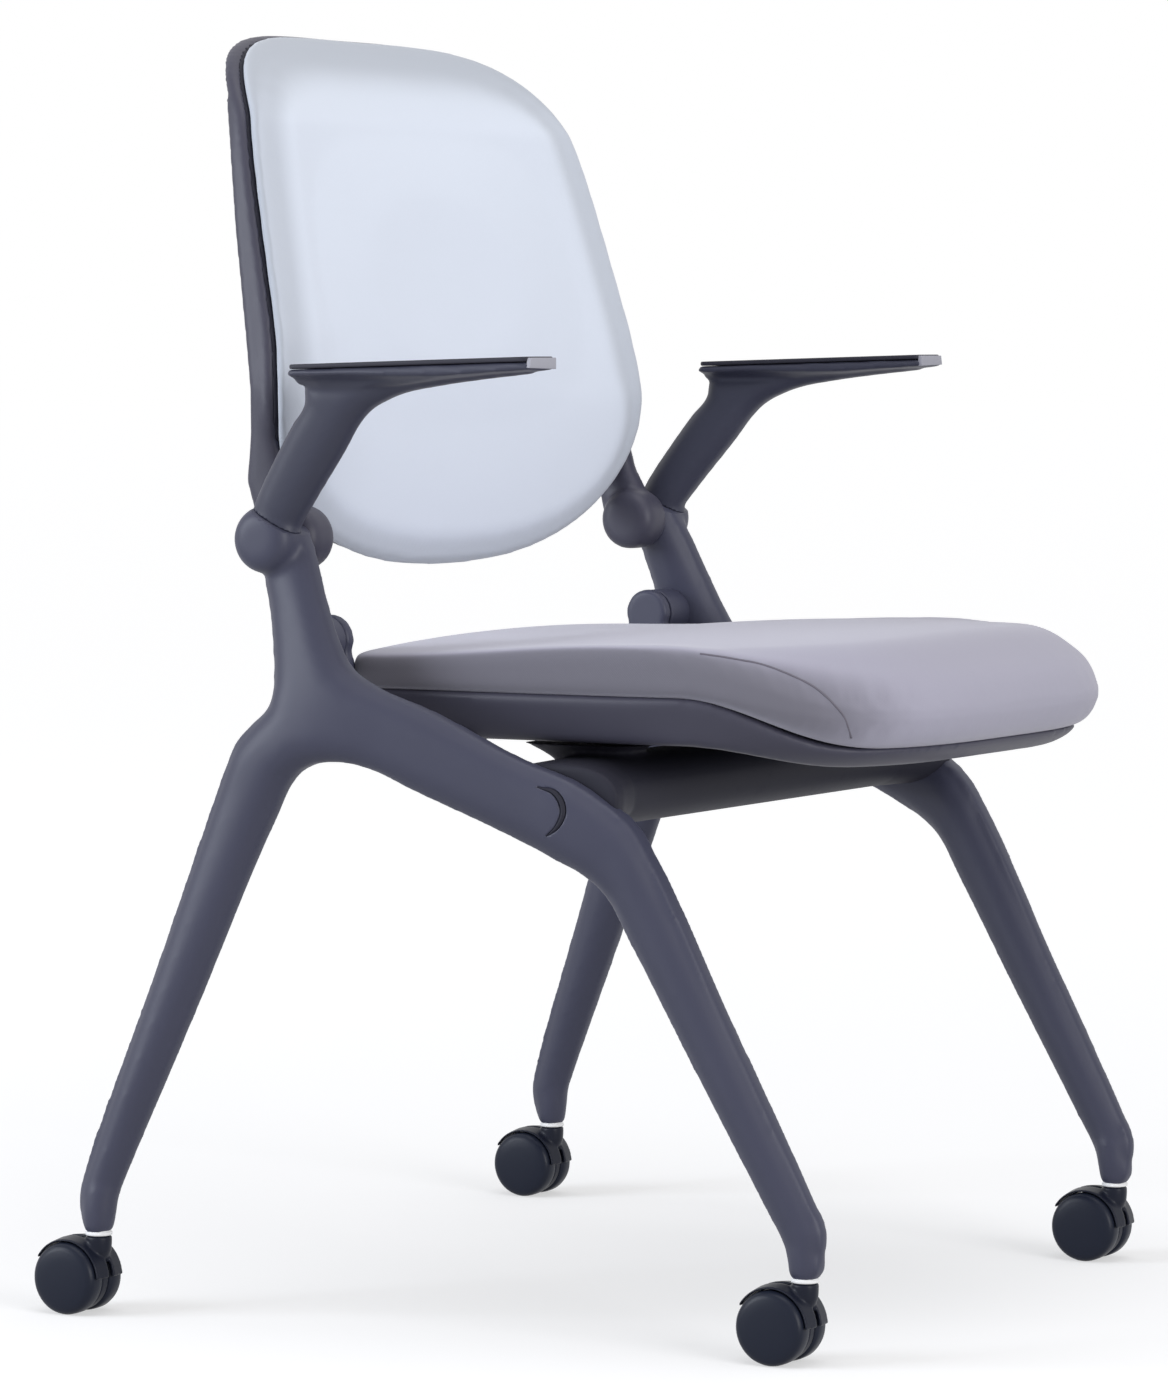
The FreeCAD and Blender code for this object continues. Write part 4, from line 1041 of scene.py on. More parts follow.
@dataclass
class SideFrame:
    """Rear leg, rail, stem and front leg of one side, flowing into each other, with the hub on top.

    Its outline is the side view. Its middle plane and its thickness change along it: each line gives X of
    the middle plane where Y or Z is given, and a swelling is a place with its spread in the side view.
    """

    side: Side
    front_edge: tuple[Point, ...] = (
        (-263.5, 58.5), (-268.8, 76.0), (-269.4, 89.5), (-260.1, 108.6), (-201.6, 219.4), (-142.6, 331.5),
        (-129.5, 350.0), (-111.0, 364.0), (-90.9, 376.0), (-50.5, 391.0), (10.8, 419.5), (62.0, 440.0),
        (76.5, 450.5), (86.5, 466.0), (97.0, 488.0), (105.5, 508.0), (112.0, 524.0), (119.0, 538.0),
        (127.0, 552.0),
    )
    rear_edge: tuple[Point, ...] = (
        (146.0, 558.0), (147.5, 530.0), (144.5, 508.0), (139.3, 491.0), (133.2, 461.0), (130.4, 440.0),
        (133.0, 422.5), (147.6, 407.9), (157.5, 396.7), (162.7, 386.4), (216.2, 236.6), (270.4, 85.0),
        (270.2, 77.0), (265.8, 62.5), (262.0, 57.5),
    )
    inner_edge: tuple[Point, ...] = (
        (253.4, 57.8), (249.9, 70.3), (244.9, 85.1), (187.1, 219.1), (130.0, 350.7), (117.6, 374.5),
        (103.6, 384.9), (83.0, 388.5), (62.0, 386.0), (22.0, 370.0), (-51.0, 340.6), (-80.8, 327.0),
        (-103.0, 315.0), (-117.5, 300.5), (-127.6, 282.8), (-178.3, 195.1), (-228.8, 108.3), (-246.3, 76.5),
        (-249.2, 66.1), (-251.5, 58.5),
    )
    radius: float = 21.0 * MM
    half_t: float = 15.0 * MM
    grow: float = 1.9 * MM
    voxel: float = 2.1 * MM
    fillet_rounds: int = 12
    leg_line: Line = ((402.0, 280.0), (89.0, 309.0))
    stem_line: Line = ((402.0, 281.0), (530.0, 261.0))
    rail_line: Line = ((-79.0, 258.0), (112.0, 281.0))
    knee_line: Line = ((-121.0, 250.0), (-79.0, 258.0))
    toe_line: Line = ((-257.0, 244.0), (-121.0, 250.0))
    stem_z: Point = (360.0, 440.0)
    rear_y: Point = (40.0, 130.0)
    foot_z: Point = (60.0, 170.0)
    foot_share: float = 0.78
    swell: float = 0.16
    swellings: tuple[tuple[Point, Point], ...] = (
        ((-118.0, 345.0), (40.0, 45.0)),
        ((120.0, 400.0), (45.0, 45.0)),
    )
    hub_x: Point = (252.5, 289.0)
    boss_x: Point = (230.8, 262.0)
    boss_place: Point = (122.0, 466.0)
    boss_r: float = 17.0
    boss_edge: float = 1.2
    foot_rings: tuple[Triple, ...] = (
        (57.4, 9.3, 257.3), (59.5, 10.2, 257.3), (64.0, 11.0, 257.2), (74.0, 12.0, 256.8),
        (88.0, 11.6, 255.0),
    )
    foot_lean: float = 0.05
    slot_r: float = 2.5 * MM
    # Radius and sinking of the dark cord that paints the shadow in the slot.
    slot_bed_r: float = 1.9 * MM
    slot_bed_depth: float = 1.0 * MM
    crescent: tuple[Triple, ...] = (
        (271.5, -70.0, 375.2), (271.5, -74.5, 374.6), (270.5, -78.8, 373.9), (270.0, -82.9, 372.0),
        (270.4, -86.9, 368.0), (271.1, -89.3, 363.4), (271.8, -90.1, 358.7), (272.4, -88.9, 354.1),
        (272.9, -86.1, 349.3), (273.0, -82.0, 345.5), (272.5, -77.5, 342.9),
    )

    def centre_x(self, y: float, z: float) -> float:
        """Where the middle plane lies, at a place in the side view.

        Args:
            y: how far to the rear the place is.
            z: how high it is.

        Returns:
            The middle plane's X there.
        """
        back_x = mix(on_line(self.leg_line, z), on_line(self.stem_line, z), ramp(*self.stem_z, z))
        front_x = on_line(self.toe_line, y)
        if y > self.knee_line[0][0]:
            front_x = min(on_line(self.rail_line, y), on_line(self.knee_line, y))
        return mix(front_x, back_x, ramp(*self.rear_y, y))

    def thickness(self, y: float, z: float) -> float:
        """How thick the limb is, which is less at the feet and more at knee and shoulder.

        Args:
            y: how far to the rear the place is.
            z: how high it is.

        Returns:
            The share of the plate's thickness.
        """
        share = mix(self.foot_share, 1.0, ramp(*self.foot_z, z))
        for (at_y, at_z), (wide, high) in self.swellings:
            share *= 1.0 + self.swell * math.exp(-(((y - at_y) / wide) ** 2) - ((z - at_z) / high) ** 2)
        return share

    def placed(self, p: Vector) -> Vector:
        """Moves a point of the flat plate out to the side."""
        y, z = p.y / MM, p.z / MM
        return Vector((self.centre_x(y, z) * MM + p.x * self.thickness(y, z), p.y, p.z))

    def foot(self, row: Row) -> bmesh.types.BMesh:
        """The round end of a leg over the caster's socket.

        Args:
            row: the front or the rear leg.

        Returns:
            Its mesh, on the left side.
        """
        x, rings = FEET[row][0], []
        for z, r, y in self.foot_rings:
            centre = Vector((x - (z - 57.0) * self.foot_lean, row.value * y, z)) * MM
            rings.append(oval(centre, r, r, 2.0, 32))
        return loft(rings)

    def build(self) -> tuple[bpy.types.Object, bpy.types.Object]:
        """Makes the limbs, sets them out to their side and melts them together with the hub.

        Returns:
            The frame, and the dark cord in its crescent slot, painted shadow in the groove.
        """
        word = self.side.word
        outline = self.front_edge + self.rear_edge + self.inner_edge
        piece = rounded(outline, self.half_t, self.radius, self.grow, self.voxel)
        piece.name = f"{word}_side_frame"
        moved(piece, self.placed)
        boss = barrel(self.boss_x, *self.boss_place, self.boss_r, self.boss_edge)
        joined(piece, hub_bulb(self.hub_x), self.foot(Row.REAR), self.foot(Row.FRONT))
        fused(piece, self.voxel, self.fillet_rounds)
        carved(piece, hub_half(True, 0.0))
        # A dark cord sunk in the groove paints its shadow.
        cord = traced(piece, self.crescent, self.slot_bed_r, True, self.slot_bed_depth)
        shadow_cord = as_object(f"{word}_frame_slot", cord)
        carved(piece, traced(piece, self.crescent, self.slot_r, True))
        joined(piece, boss)
        return sided(piece, self.side), sided(shadow_cord, self.side)


# Arms

@dataclass
class Arm:
    """Armrest: the stalk that widens into a beam, the pad on it and the pale inlay at its front.

    The beam's stations give Y, how deep it hangs below the pad, and its width relative to the pad's.
    """

    side: Side
    outline: tuple[Point, ...] = (
        (149.5, 536.0), (150.5, 548.0), (149.3, 558.0), (143.5, 569.2), (129.9, 589.7), (112.8, 613.6),
        (100.5, 629.0), (100.0, 637.0), (98.0, 644.0), (82.0, 646.0), (0.0, 649.0), (-73.0, 652.0),
        (-75.0, 650.8), (-71.5, 650.2), (-36.5, 646.5), (0.4, 641.7), (26.7, 636.9), (42.0, 631.5),
        (54.0, 625.5), (64.0, 616.8), (78.7, 597.5), (107.3, 561.8), (121.0, 543.5), (129.0, 530.0),
    )
    radius: float = 17.0 * MM
    half_t: float = 13.2 * MM
    grow: float = 1.2 * MM
    voxel: float = 1.6 * MM
    stalk_rounds: int = 10
    beam_rounds: int = 5
    stalk_line: Line = ((536.2, 268.0), (655.2, 287.6))
    middle_x: float = 287.6
    rear: Point = (100.6, 655.2)
    front: Point = (-83.6, 660.8)
    half_w: float = 24.3
    front_half_w: float = 18.5
    widening_y: Point = (-88.6, 41.4)
    stations: tuple[Triple, ...] = (
        (102.0, 5.0, 0.86), (98.5, 9.0, 0.97), (83.0, 12.5, 1.0), (58.0, 14.0, 1.0), (23.0, 12.0, 1.0),
        (-17.0, 9.0, 1.0), (-52.0, 7.0, 1.0), (-75.0, 6.2, 0.99), (-82.0, 5.8, 0.95), (-83.8, 5.2, 0.9),
    )
    thin_y: Point = (-40.0, 60.0)
    rear_y: Point = (85.0, 97.0)
    pad_t: float = 3.2
    pad_corner: float = 7.0
    pad_edge: float = 1.2
    joint_gap: float = 0.5 * MM
    bulb_x: Point = (258.0, 284.6)
    inlay_corners: tuple[Point, ...] = ((-16.9, -0.8), (15.9, -0.8), (17.5, -7.6), (-16.9, -8.4))
    inlay_out: float = 0.9
    inlay_t: float = 3.2 * MM
    inlay_edge: float = 0.5 * MM

    def placed(self, p: Vector) -> Vector:
        """Moves a point of the upright stalk out to the side, further out with height."""
        return Vector((on_line(self.stalk_line, p.z / MM) * MM + p.x, p.y, p.z))

    def top_z(self, y: float) -> float:
        """Height of the pad's top, which rises to the front."""
        return on_line((self.rear, self.front), y)

    def half(self, y: float) -> float:
        """Half the width of beam and pad, which narrow to the front."""
        return mix(self.front_half_w, self.half_w, ramp(*self.widening_y, y))

    def beam(self) -> bmesh.types.BMesh:
        """The wide top of the moulding, whose sides slope in underneath.

        Returns:
            Its mesh.
        """
        rings = []
        for y, deep, wide in self.stations:
            z = self.top_z(y) - self.pad_t - 0.3
            half = self.half(y) * wide
            rear = ramp(*self.thin_y, y)
            side = mix(deep * 0.8, 3.6, rear)
            under = mix(deep, deep + 1.0, rear)
            slope_u, slope_v = mix(0.9, 0.62, rear), side + 0.45 * (under - side)
            right = ((0.96, 0.0), (1.03, -side), (slope_u, -slope_v), (0.4, -under))
            shape = [(-0.96, 0.0), (0.0, 0.0), *right, (0.0, -under)]
            shape += [(-u, v) for u, v in reversed(right[1:])]
            lag = 2.0 * ramp(*self.rear_y, y)
            points = [(self.middle_x + u * half, y + lag * (-v / 6.0), z + v) for u, v in shape]
            rings.append([Vector(point) * MM for point in points])
        return loft(rings)

    def build(self) -> bpy.types.Object:
        """Melts stalk, hub end and beam together, and cuts them at the joint with the frame's hub.

        Returns:
            The arm's moulding.
        """
        piece = rounded(self.outline, self.half_t, self.radius, self.grow, self.voxel)
        piece.name = f"{self.side.word}_arm_moulding"
        moved(piece, self.placed)
        joined(piece, hub_bulb(self.bulb_x))
        fused(piece, self.voxel, self.stalk_rounds)
        joined(piece, self.beam())
        fused(piece, self.voxel, self.beam_rounds)
        carved(piece, hub_half(False, self.joint_gap))
        return sided(piece, self.side)

    def pad(self) -> bpy.types.Object:
        """The separate top layer, whose edge shows as a fine line round the beam.

        Returns:
            The layer.
        """
        half_w, corner = self.half_w - 0.3, self.pad_corner
        low, high = self.front[0] + 0.4 + corner, self.rear[0] + 1.2 - corner
        points = []
        for ux, cy, start in ((1, high, 0), (-1, high, 90), (-1, low, 180), (1, low, 270)):
            cx = ux * (half_w - corner)
            for k in range(7):
                a = math.radians(start + 15.0 * k)
                u, v = self.middle_x + cx + corner * math.cos(a), cy + corner * math.sin(a)
                points.append((u * MM, v * MM))
        bm = slab(points, 0.5 * self.pad_t * MM, self.pad_edge * MM)
        for vert in bm.verts:
            y = vert.co.y / MM
            vert.co.x = mix(self.middle_x * MM, vert.co.x, self.half(y) / self.half_w)
            vert.co.z += (self.top_z(y) - 0.5 * self.pad_t) * MM
        return as_object(f"{self.side.word}_arm_top", flipped(bm, self.side))

    def inlay(self) -> bpy.types.Object:
        """The pale plate let into the front end.

        Returns:
            The plate.
        """
        bm = bmesh.new()
        y = self.front[0]
        z = self.top_z(y)
        corners = [Vector((self.middle_x + u, y - self.inlay_out, z + v)) * MM for u, v in self.inlay_corners]
        bm.faces.new([bm.verts.new(corner) for corner in corners])
        grown = bmesh.ops.extrude_face_region(bm, geom=bm.faces[:])
        rear = [v for v in grown["geom"] if isinstance(v, bmesh.types.BMVert)]
        bmesh.ops.translate(bm, vec=(0.0, self.inlay_t, 0.0), verts=rear)
        bmesh.ops.recalc_face_normals(bm, faces=bm.faces)
        bmesh.ops.bevel(
            bm, geom=bm.edges[:], offset=self.inlay_edge, segments=3, affect="EDGES", profile=0.5, material=-1
        )
        return as_object(f"{self.side.word}_arm_inlay", flipped(bm, self.side))


# Soft pieces

def puffed(piece: bpy.types.Object, held: Callable[[Vector], bool]) -> bpy.types.Object:
    """Blows taut cloth up a little with its seams held.

    Args:
        piece: the pad's closed skin.
        held: tells whether a point of the skin stays where it is.

    Returns:
        The same object, with the cloth applied.
    """
    pressure, stiffness, bending, shrink, frames, cap = 4.0, 20.0, 4.0, 0.01, 20, 3.0 * MM
    start = [v.co.copy() for v in piece.data.vertices]
    pins = piece.vertex_groups.new(name="held")
    pins.add([v.index for v in piece.data.vertices if held(v.co)], 1.0, "REPLACE")
    cloth = piece.modifiers.new("cloth", "CLOTH")
    cloth.settings.quality = 5
    cloth.settings.use_pressure = True
    cloth.settings.uniform_pressure_force = pressure
    cloth.settings.shrink_min = shrink
    cloth.settings.tension_stiffness = stiffness
    cloth.settings.compression_stiffness = stiffness
    cloth.settings.bending_stiffness = bending
    cloth.settings.effector_weights.gravity = 0.0
    cloth.settings.vertex_group_mass = "held"
    scene = bpy.context.scene
    for frame in range(1, frames + 1):
        scene.frame_set(frame)
    baked(piece)
    scene.frame_set(1)
    piece.vertex_groups.clear()
    for vert, before in zip(piece.data.vertices, start):
        move = vert.co - before
        if move.length > cap:
            vert.co = before + move.normalized() * cap
    piece.data.update()
    return piece


def skinned(piece: bpy.types.Object, rounds: int) -> bpy.types.Object:
    """Smooths a pad's skin and subdivides it once.

    Args:
        piece: the pad.
        rounds: how many times it is smoothed.

    Returns:
        The same pad.
    """
    softened(piece, 0.5, rounds)
    fine = piece.modifiers.new("fine", "SUBSURF")
    fine.levels = 1
    fine.render_levels = 1
    return baked(piece)


def quarter(t: float) -> float:
    """How far a quarter round has still to fall: 1 at t = 0, and 0 from t = 1 on."""
    t = min(1.0, t)
    return 1.0 - math.sqrt(max(0.0, 1.0 - (1.0 - t) ** 2))


@dataclass
class Backrest:
    """Padded back: a moulded shell bowed round the sitter, with its spines and knuckles, and the pad.

    Seen from the front its lower half is part of a rounded oblong and its upper half tapers to round
    corners. The seam surface between pad and shell leans, bows, and rolls to the rear at both ends. A
    spine's stations give Z, width and half the depth.
    """

    half_w: float = 253.0
    bottom_z: float = 508.5
    top_z: float = 890.0
    middle_z: float = 700.0
    ref_z: float = 630.0
    low_power: float = 2.3
    taper: float = 0.143
    corner_powers: Point = (8.0, 0.25)
    high_shares: tuple[float, ...] = (
        0.0, 0.15, 0.3, 0.45, 0.58, 0.68, 0.76, 0.83, 0.89, 0.935, 0.965, 0.985, 0.996, 1.0,
    )
    edge_y: float = 145.3
    lean: float = 0.213
    bow: float = 31.0
    low_flat: float = 0.7
    flat_z: float = 690.0
    roll: float = 22.0
    roll_z: float = 825.0
    lumbar: float = 20.0
    pad_rim_t: float = 9.5
    pad_face_t: float = 22.5
    pad_crown: float = 2.5
    pad_inset: float = 1.6
    pad_gap: float = 2.6
    pad_lap: float = 0.6
    slab_half_t: float = 10.0
    seam_hold: Point = (2.5, 7.0)
    bevel_w: Triple = (20.0, 42.0, 32.0)
    bevel_side_z: Point = (545.0, 655.0)
    bevel_top_z: Point = (790.0, 860.0)
    # Where the painted shade on the pad's border fades out, as shares of the border's width.
    border_span: Point = (0.5, 1.1)
    shell_t: float = 12.0
    shell_lap: float = 0.8
    shell_inset: float = 0.4
    tuck: float = 6.0
    tuck_over: float = 80.0
    band_inset: float = 2.8
    band_half_t: float = 2.2
    band_edge: float = 0.6
    board_inset: float = 14.0
    board_half_t: float = 3.5
    board_depth: float = 4.2
    knuckle_x: Point = (218.5, 251.4)
    knuckle_r: float = 22.4
    knuckle_edge: float = 9.5
    spine_x: float = 239.8
    spine_back: float = 6.5
    spine_free_z: float = 607.0
    spine_x_z: float = 545.0
    spine_y_z: float = 536.0
    spine_power: float = 3.2
    stations: tuple[Triple, ...] = (
        (536.2, 21.0, 19.0), (552.0, 20.0, 20.0), (575.0, 17.5, 19.0), (607.0, 15.0, 14.0),
        (640.0, 15.0, 11.5), (680.0, 15.0, 10.5), (750.0, 15.0, 9.0), (800.0, 14.5, 7.5),
        (838.0, 14.0, 6.5),
    )

    def half(self, z: float) -> float:
        """Half the width at a height.

        Args:
            z: the height.

        Returns:
            The half width.
        """
        if z < self.ref_z:
            low = (self.ref_z - z) / (self.ref_z - self.bottom_z)
            return self.half_w * max(0.0, 1.0 - low ** self.low_power) ** (1.0 / self.low_power)
        high = (z - self.ref_z) / (self.top_z - self.ref_z)
        power, root = self.corner_powers
        return (self.half_w - self.taper * (z - self.ref_z)) * max(0.0, 1.0 - high ** power) ** root

    def flattening(self, x: float, z: float) -> float:
        """How far the bow gives way to the flatter low end."""
        return self.bow * self.low_flat * ramp(self.flat_z, self.bottom_z, z) * (x / self.half_w) ** 2

    def seam_y(self, x: float, z: float) -> float:
        """The surface between pad and shell, bowed to the rear at the middle.

        Args:
            x: a place across the back.
            z: its height.

        Returns:
            The surface's Y there.
        """
        y = self.edge_y + self.bow + self.lean * (z - self.ref_z)
        if z < self.ref_z:
            y += self.lumbar * ((self.ref_z - z) / (self.ref_z - self.bottom_z)) ** 1.4
        else:
            y += self.roll * (max(0.0, z - self.roll_z) / (self.top_z - self.roll_z)) ** 1.3
        return y - self.bow * (x / self.half_w) ** 2 + self.flattening(x, z)

    def outline(self, inset: float) -> list[Point]:
        """The rim of pad and shell in the front view.

        Args:
            inset: how far it is drawn in.

        Returns:
            Its points in order, in metres.
        """
        share, drop, rise = 2.0 / self.low_power, self.ref_z - self.bottom_z, self.top_z - self.ref_z
        right = []
        for degrees in range(90, 0, -10):
            a = math.radians(degrees)
            right.append((self.half_w * math.cos(a) ** share, self.ref_z - drop * math.sin(a) ** share))
        right += [(self.half(self.ref_z + rise * t), self.ref_z + rise * t) for t in self.high_shares]
        left = [(-x, z) for x, z in reversed(right[1:-1])]
        inner = [shrunk(x, z, self.middle_z, inset) for x, z in right + left]
        return [(x * MM, z * MM) for x, z in inner]

    def inwards(self, x: float, z: float, rim: Rim) -> float:
        """How far in from the bevelled border a place lies, which is narrow below and wide at the sides.

        Args:
            x: a place across the back.
            z: its height.
            rim: the pad's rim.

        Returns:
            The distance from the rim as a share of the border's width.
        """
        low, side, high = self.bevel_w
        width = mix(low, side, ramp(*self.bevel_side_z, z))
        width = mix(width, high, ramp(*self.bevel_top_z, z))
        return rim.inwards(x * MM, z * MM) / MM / width

    def thick(self, x: float, z: float, rim: Rim) -> float:
        """Thickness of the pad: a bevelled border, then the crowned face.

        Args:
            x: a place across the back.
            z: its height.
            rim: the pad's rim.

        Returns:
            The thickness there.
        """
        share = self.inwards(x, z, rim)
        slope = share if share < 0.8 else mix(0.8, 1.0, 1.0 - (1.0 - min(1.0, (share - 0.8) / 0.4)) ** 2)
        crown = self.pad_crown * max(0.0, 1.0 - (x / self.half_w) ** 2) * ramp(0.6, 3.1, share)
        return mix(self.pad_rim_t, self.pad_face_t, slope) + crown

    def tucked(self, p: Vector) -> Vector:
        """Draws the low part of the rim in behind the pad.

        Args:
            p: a point of a level slab, in metres.

        Returns:
            Its new place.
        """
        x, z = p.x, p.y - self.middle_z * MM
        size = max(math.hypot(x, z), 100.0 * MM)
        keep = 1.0 - self.tuck * MM * ramp(self.ref_z, self.ref_z - self.tuck_over, p.y / MM) / size
        return Vector((x * keep, self.middle_z * MM + z * keep, p.z))

    def upright(self, p: Vector, depth: float) -> Vector:
        """Stands a point of a level slab up on the seam surface, so far behind it."""
        return Vector((p.x, (self.seam_y(p.x / MM, p.y / MM) + depth) * MM - p.z, p.y))

    def edge_band(self) -> bpy.types.Object:
        """A dark band between pad and shell, painted shadow that shows as a line in the gap.

        Returns:
            The band.
        """
        band = slab(self.outline(self.band_inset), self.band_half_t * MM, self.band_edge * MM)
        piece = fused(as_object("back_edge_band", band), 3.0 * MM, 0)
        return moved(piece, lambda p: self.upright(self.tucked(p), -0.6), turned=True)

    def board(self) -> bpy.types.Object:
        """The wooden board between shell and pad, hidden from outside.

        Returns:
            The board.
        """
        board = slab(self.outline(self.board_inset), self.board_half_t * MM, 0.8 * MM)
        piece = fused(as_object("back_plywood", board), 4.0 * MM, 0)
        return moved(piece, lambda p: self.upright(p, self.board_depth), turned=True)

    def pad(self) -> bpy.types.Object:
        """The upholstered pad, with its border marked for the cloth's painted shade.

        Returns:
            The pad.
        """
        outline = self.outline(self.pad_inset)
        rim = Rim(outline)
        half_t = self.slab_half_t * MM
        piece = fused(as_object("back_upholstery", slab(outline, half_t, 5.0 * MM)), 4.4 * MM, 2)
        seam_hold, rim_hold = self.seam_hold

        def placed(p: Vector) -> Vector:
            """Stands the slab up between the seam surface and the pad's face.

            Args:
                p: a vertex's place, in metres.

            Returns:
                Its new place.
            """
            x, z = p.x / MM, p.y / MM
            share = (p.z + half_t) / (2.0 * half_t)
            full = self.thick(x, z, rim) - self.pad_gap + self.pad_lap
            return Vector((p.x, (self.seam_y(x, z) - self.pad_gap - share * full) * MM, p.y))

        def held(p: Vector) -> bool:
            """Whether the point lies at the seam or the rim."""
            deep = self.seam_y(p.x / MM, p.z / MM) - p.y / MM
            return deep < self.pad_gap + seam_hold or rim.inwards(p.x, p.z) < rim_hold * MM

        moved(piece, placed, turned=True)
        puffed(piece, held)
        skinned(piece, 3)
        # Marks the pad's border for the cloth's painted shade, fading inwards.
        border = piece.data.attributes.new("border", "FLOAT", "POINT")
        for vert, level in zip(piece.data.vertices, border.data):
            level.value = 1.0 - ramp(*self.border_span, self.inwards(vert.co.x / MM, vert.co.z / MM, rim))
        return piece

    def spine(self) -> bmesh.types.BMesh:
        """Left spine from the knuckle up the shell's edge.

        Returns:
            Its mesh.
        """
        rings = []
        for z, width, half_d in self.stations:
            free_z = max(z, self.spine_free_z)
            edge_x = self.half(free_z) - 1.0 - width / 2.0
            clear = ramp(self.spine_y_z, self.spine_free_z, z)
            half_d -= 0.5 * clear * self.flattening(edge_x, free_z)
            x = mix(self.spine_x, edge_x, ramp(self.spine_x_z, self.spine_free_z, z))
            y = mix(HUB[0] + self.spine_back, self.seam_y(edge_x, free_z) + half_d, clear)
            rings.append(oval(Vector((x, y, z)) * MM, 0.5 * width, half_d, self.spine_power, 32))
        return loft(rings)

    def shell(self) -> bpy.types.Object:
        """The moulded shell behind the pad, with its two spines and its knuckles.

        Returns:
            The shell.
        """
        full_t = self.shell_t + self.shell_lap
        tray = as_object("back_shell", slab(self.outline(self.shell_inset), 0.5 * full_t * MM, 3.0 * MM))
        fused(tray, 3.0 * MM, 1)
        moved(tray, lambda p: self.upright(self.tucked(p), 0.5 * full_t - self.shell_lap), turned=True)
        for side in Side:
            knuckle = barrel(self.knuckle_x, *HUB, self.knuckle_r, self.knuckle_edge)
            joined(tray, flipped(self.spine(), side), flipped(knuckle, side))
        return fused(tray, 2.5 * MM, 3)


@dataclass
class Seat:
    """Flip-up seat: cushion with its waterfall nose, sewn side line, and the moulded tray.

    Cushion and tray meet in a seam that is level along the sides and lower at the front.
    """

    half_w: float = 228.0
    rear_y: float = 117.0
    nose_y: float = -304.0
    widest_y: float = -60.0
    middle_y: float = -90.0
    nose_power: float = 3.4
    rear_powers: Point = (34.0, 3.4)
    nose_turns: tuple[int, ...] = (0, 3, 7, 12, 18, 25, 33, 41, 49, 57, 65, 72, 78, 83, 87, 90)
    rear_shares: tuple[float, ...] = (
        1.0, 0.9995, 0.997, 0.99, 0.98, 0.965, 0.94, 0.9, 0.84, 0.75, 0.6, 0.4, 0.2,
    )
    side_z: float = 432.0
    front_z: float = 399.0
    dip: Point = (-150.0, -268.0)
    shell_h: Point = (31.0, 12.5)
    shell_inset: Point = (10.0, 20.0)
    shell_half_t: float = 12.0
    shell_lap: float = 2.0
    nose_over: float = 15.5
    top_z: Triple = (457.5, 468.5, 468.5)
    rise_y: Point = (98.0, -110.0)
    crown: float = 8.0
    ahead_y: Point = (-125.0, -285.0)
    shoulder_r: Point = (7.0, 62.0)
    shoulder_fall: Point = (3.0, 44.0)
    slab_half_t: float = 20.0
    curl_r: float = 20.0
    curl: Point = (1.5, 21.0)
    hold_z: Point = (9.0, 24.0)
    hold_rim: float = 9.0
    board_inset: float = 38.0
    board_half_t: float = 3.0
    board_depth: float = 3.2
    thread_r: float = 0.75 * MM
    sewn: tuple[Triple, ...] = (
        (220.3, -165.2, 464.5), (218.2, -174.6, 463.4), (215.8, -183.9, 462.2), (213.0, -192.2, 460.6),
        (210.0, -200.3, 459.0), (206.7, -209.0, 456.1), (203.6, -217.1, 452.6), (200.3, -225.1, 448.7),
        (196.5, -232.8, 444.1), (193.5, -238.7, 439.8), (190.7, -244.0, 434.8), (188.0, -248.5, 429.5),
        (184.4, -252.6, 424.2), (180.8, -254.5, 417.4), (176.9, -254.8, 411.9),
    )

    def half(self, y: float) -> float:
        """Half the width at a place along the seat.

        Args:
            y: the place.

        Returns:
            The half width.
        """
        if y <= self.widest_y:
            share = (self.widest_y - y) / (self.widest_y - self.nose_y)
            return self.half_w * max(0.0, 1.0 - share ** self.nose_power) ** (1.0 / self.nose_power)
        share = (y - self.widest_y) / (self.rear_y - self.widest_y)
        power, root = self.rear_powers
        return self.half_w * max(0.0, 1.0 - share ** power) ** (1.0 / root)

    def outline(self, inset: float = 0.0) -> list[Point]:
        """The rim in the plan view.

        Args:
            inset: how far it is drawn in.

        Returns:
            Its points in order, in metres.
        """
        front, span, power = self.widest_y - self.nose_y, self.rear_y - self.widest_y, 2.0 / self.nose_power
        right = [(self.half(self.widest_y + span * t), self.widest_y + span * t) for t in self.rear_shares]
        for degrees in self.nose_turns:
            a = math.radians(degrees)
            right.append((self.half_w * math.cos(a) ** power, self.widest_y - front * math.sin(a) ** power))
        left = [(-x, y) for x, y in reversed(right[1:-1])]
        inner = [shrunk(x, y, self.middle_y, inset) for x, y in right + left]
        return [(x * MM, y * MM) for x, y in inner]

    def dipped(self, y: float) -> float:
        """0 along the sides and 1 at the lowered front of the seam."""
        return ramp(*self.dip, y)

    def seam_z(self, y: float) -> float:
        """Height of the line where cushion and tray meet."""
        return mix(self.side_z, self.front_z, self.dipped(y))

    def cushion_z(self, x: float, y: float, inwards: float) -> float:
        """Height of the cushion's top, with its shoulder rounded off towards the rim.

        Args:
            x: a place across the seat.
            y: a place along it.
            inwards: its distance from the rim.

        Returns:
            The height there.
        """
        rear, middle, nose = self.top_z
        share = max(0.0, (self.widest_y - y) / (self.widest_y - self.nose_y))
        z = mix(rear, middle, ramp(*self.rise_y, y)) - (middle - nose) * share ** 7.0
        wide = max(self.half(y), 40.0)
        z += self.crown * max(0.0, 1.0 - (x / wide) ** 2) * min(1.0, wide / self.half_w)
        ahead = ramp(*self.ahead_y, y)
        return z - mix(*self.shoulder_fall, ahead) * quarter(inwards / mix(*self.shoulder_r, ahead))

    def cushion(self) -> bpy.types.Object:
        """The upholstered cushion, blown up a little as cloth.

        Returns:
            The cushion.
        """
        outline = self.outline()
        rim = Rim(outline)
        half_t = self.slab_half_t * MM
        piece = fused(as_object("seat_upholstery", slab(outline, half_t, 6.0 * MM)), 4.6 * MM, 2)

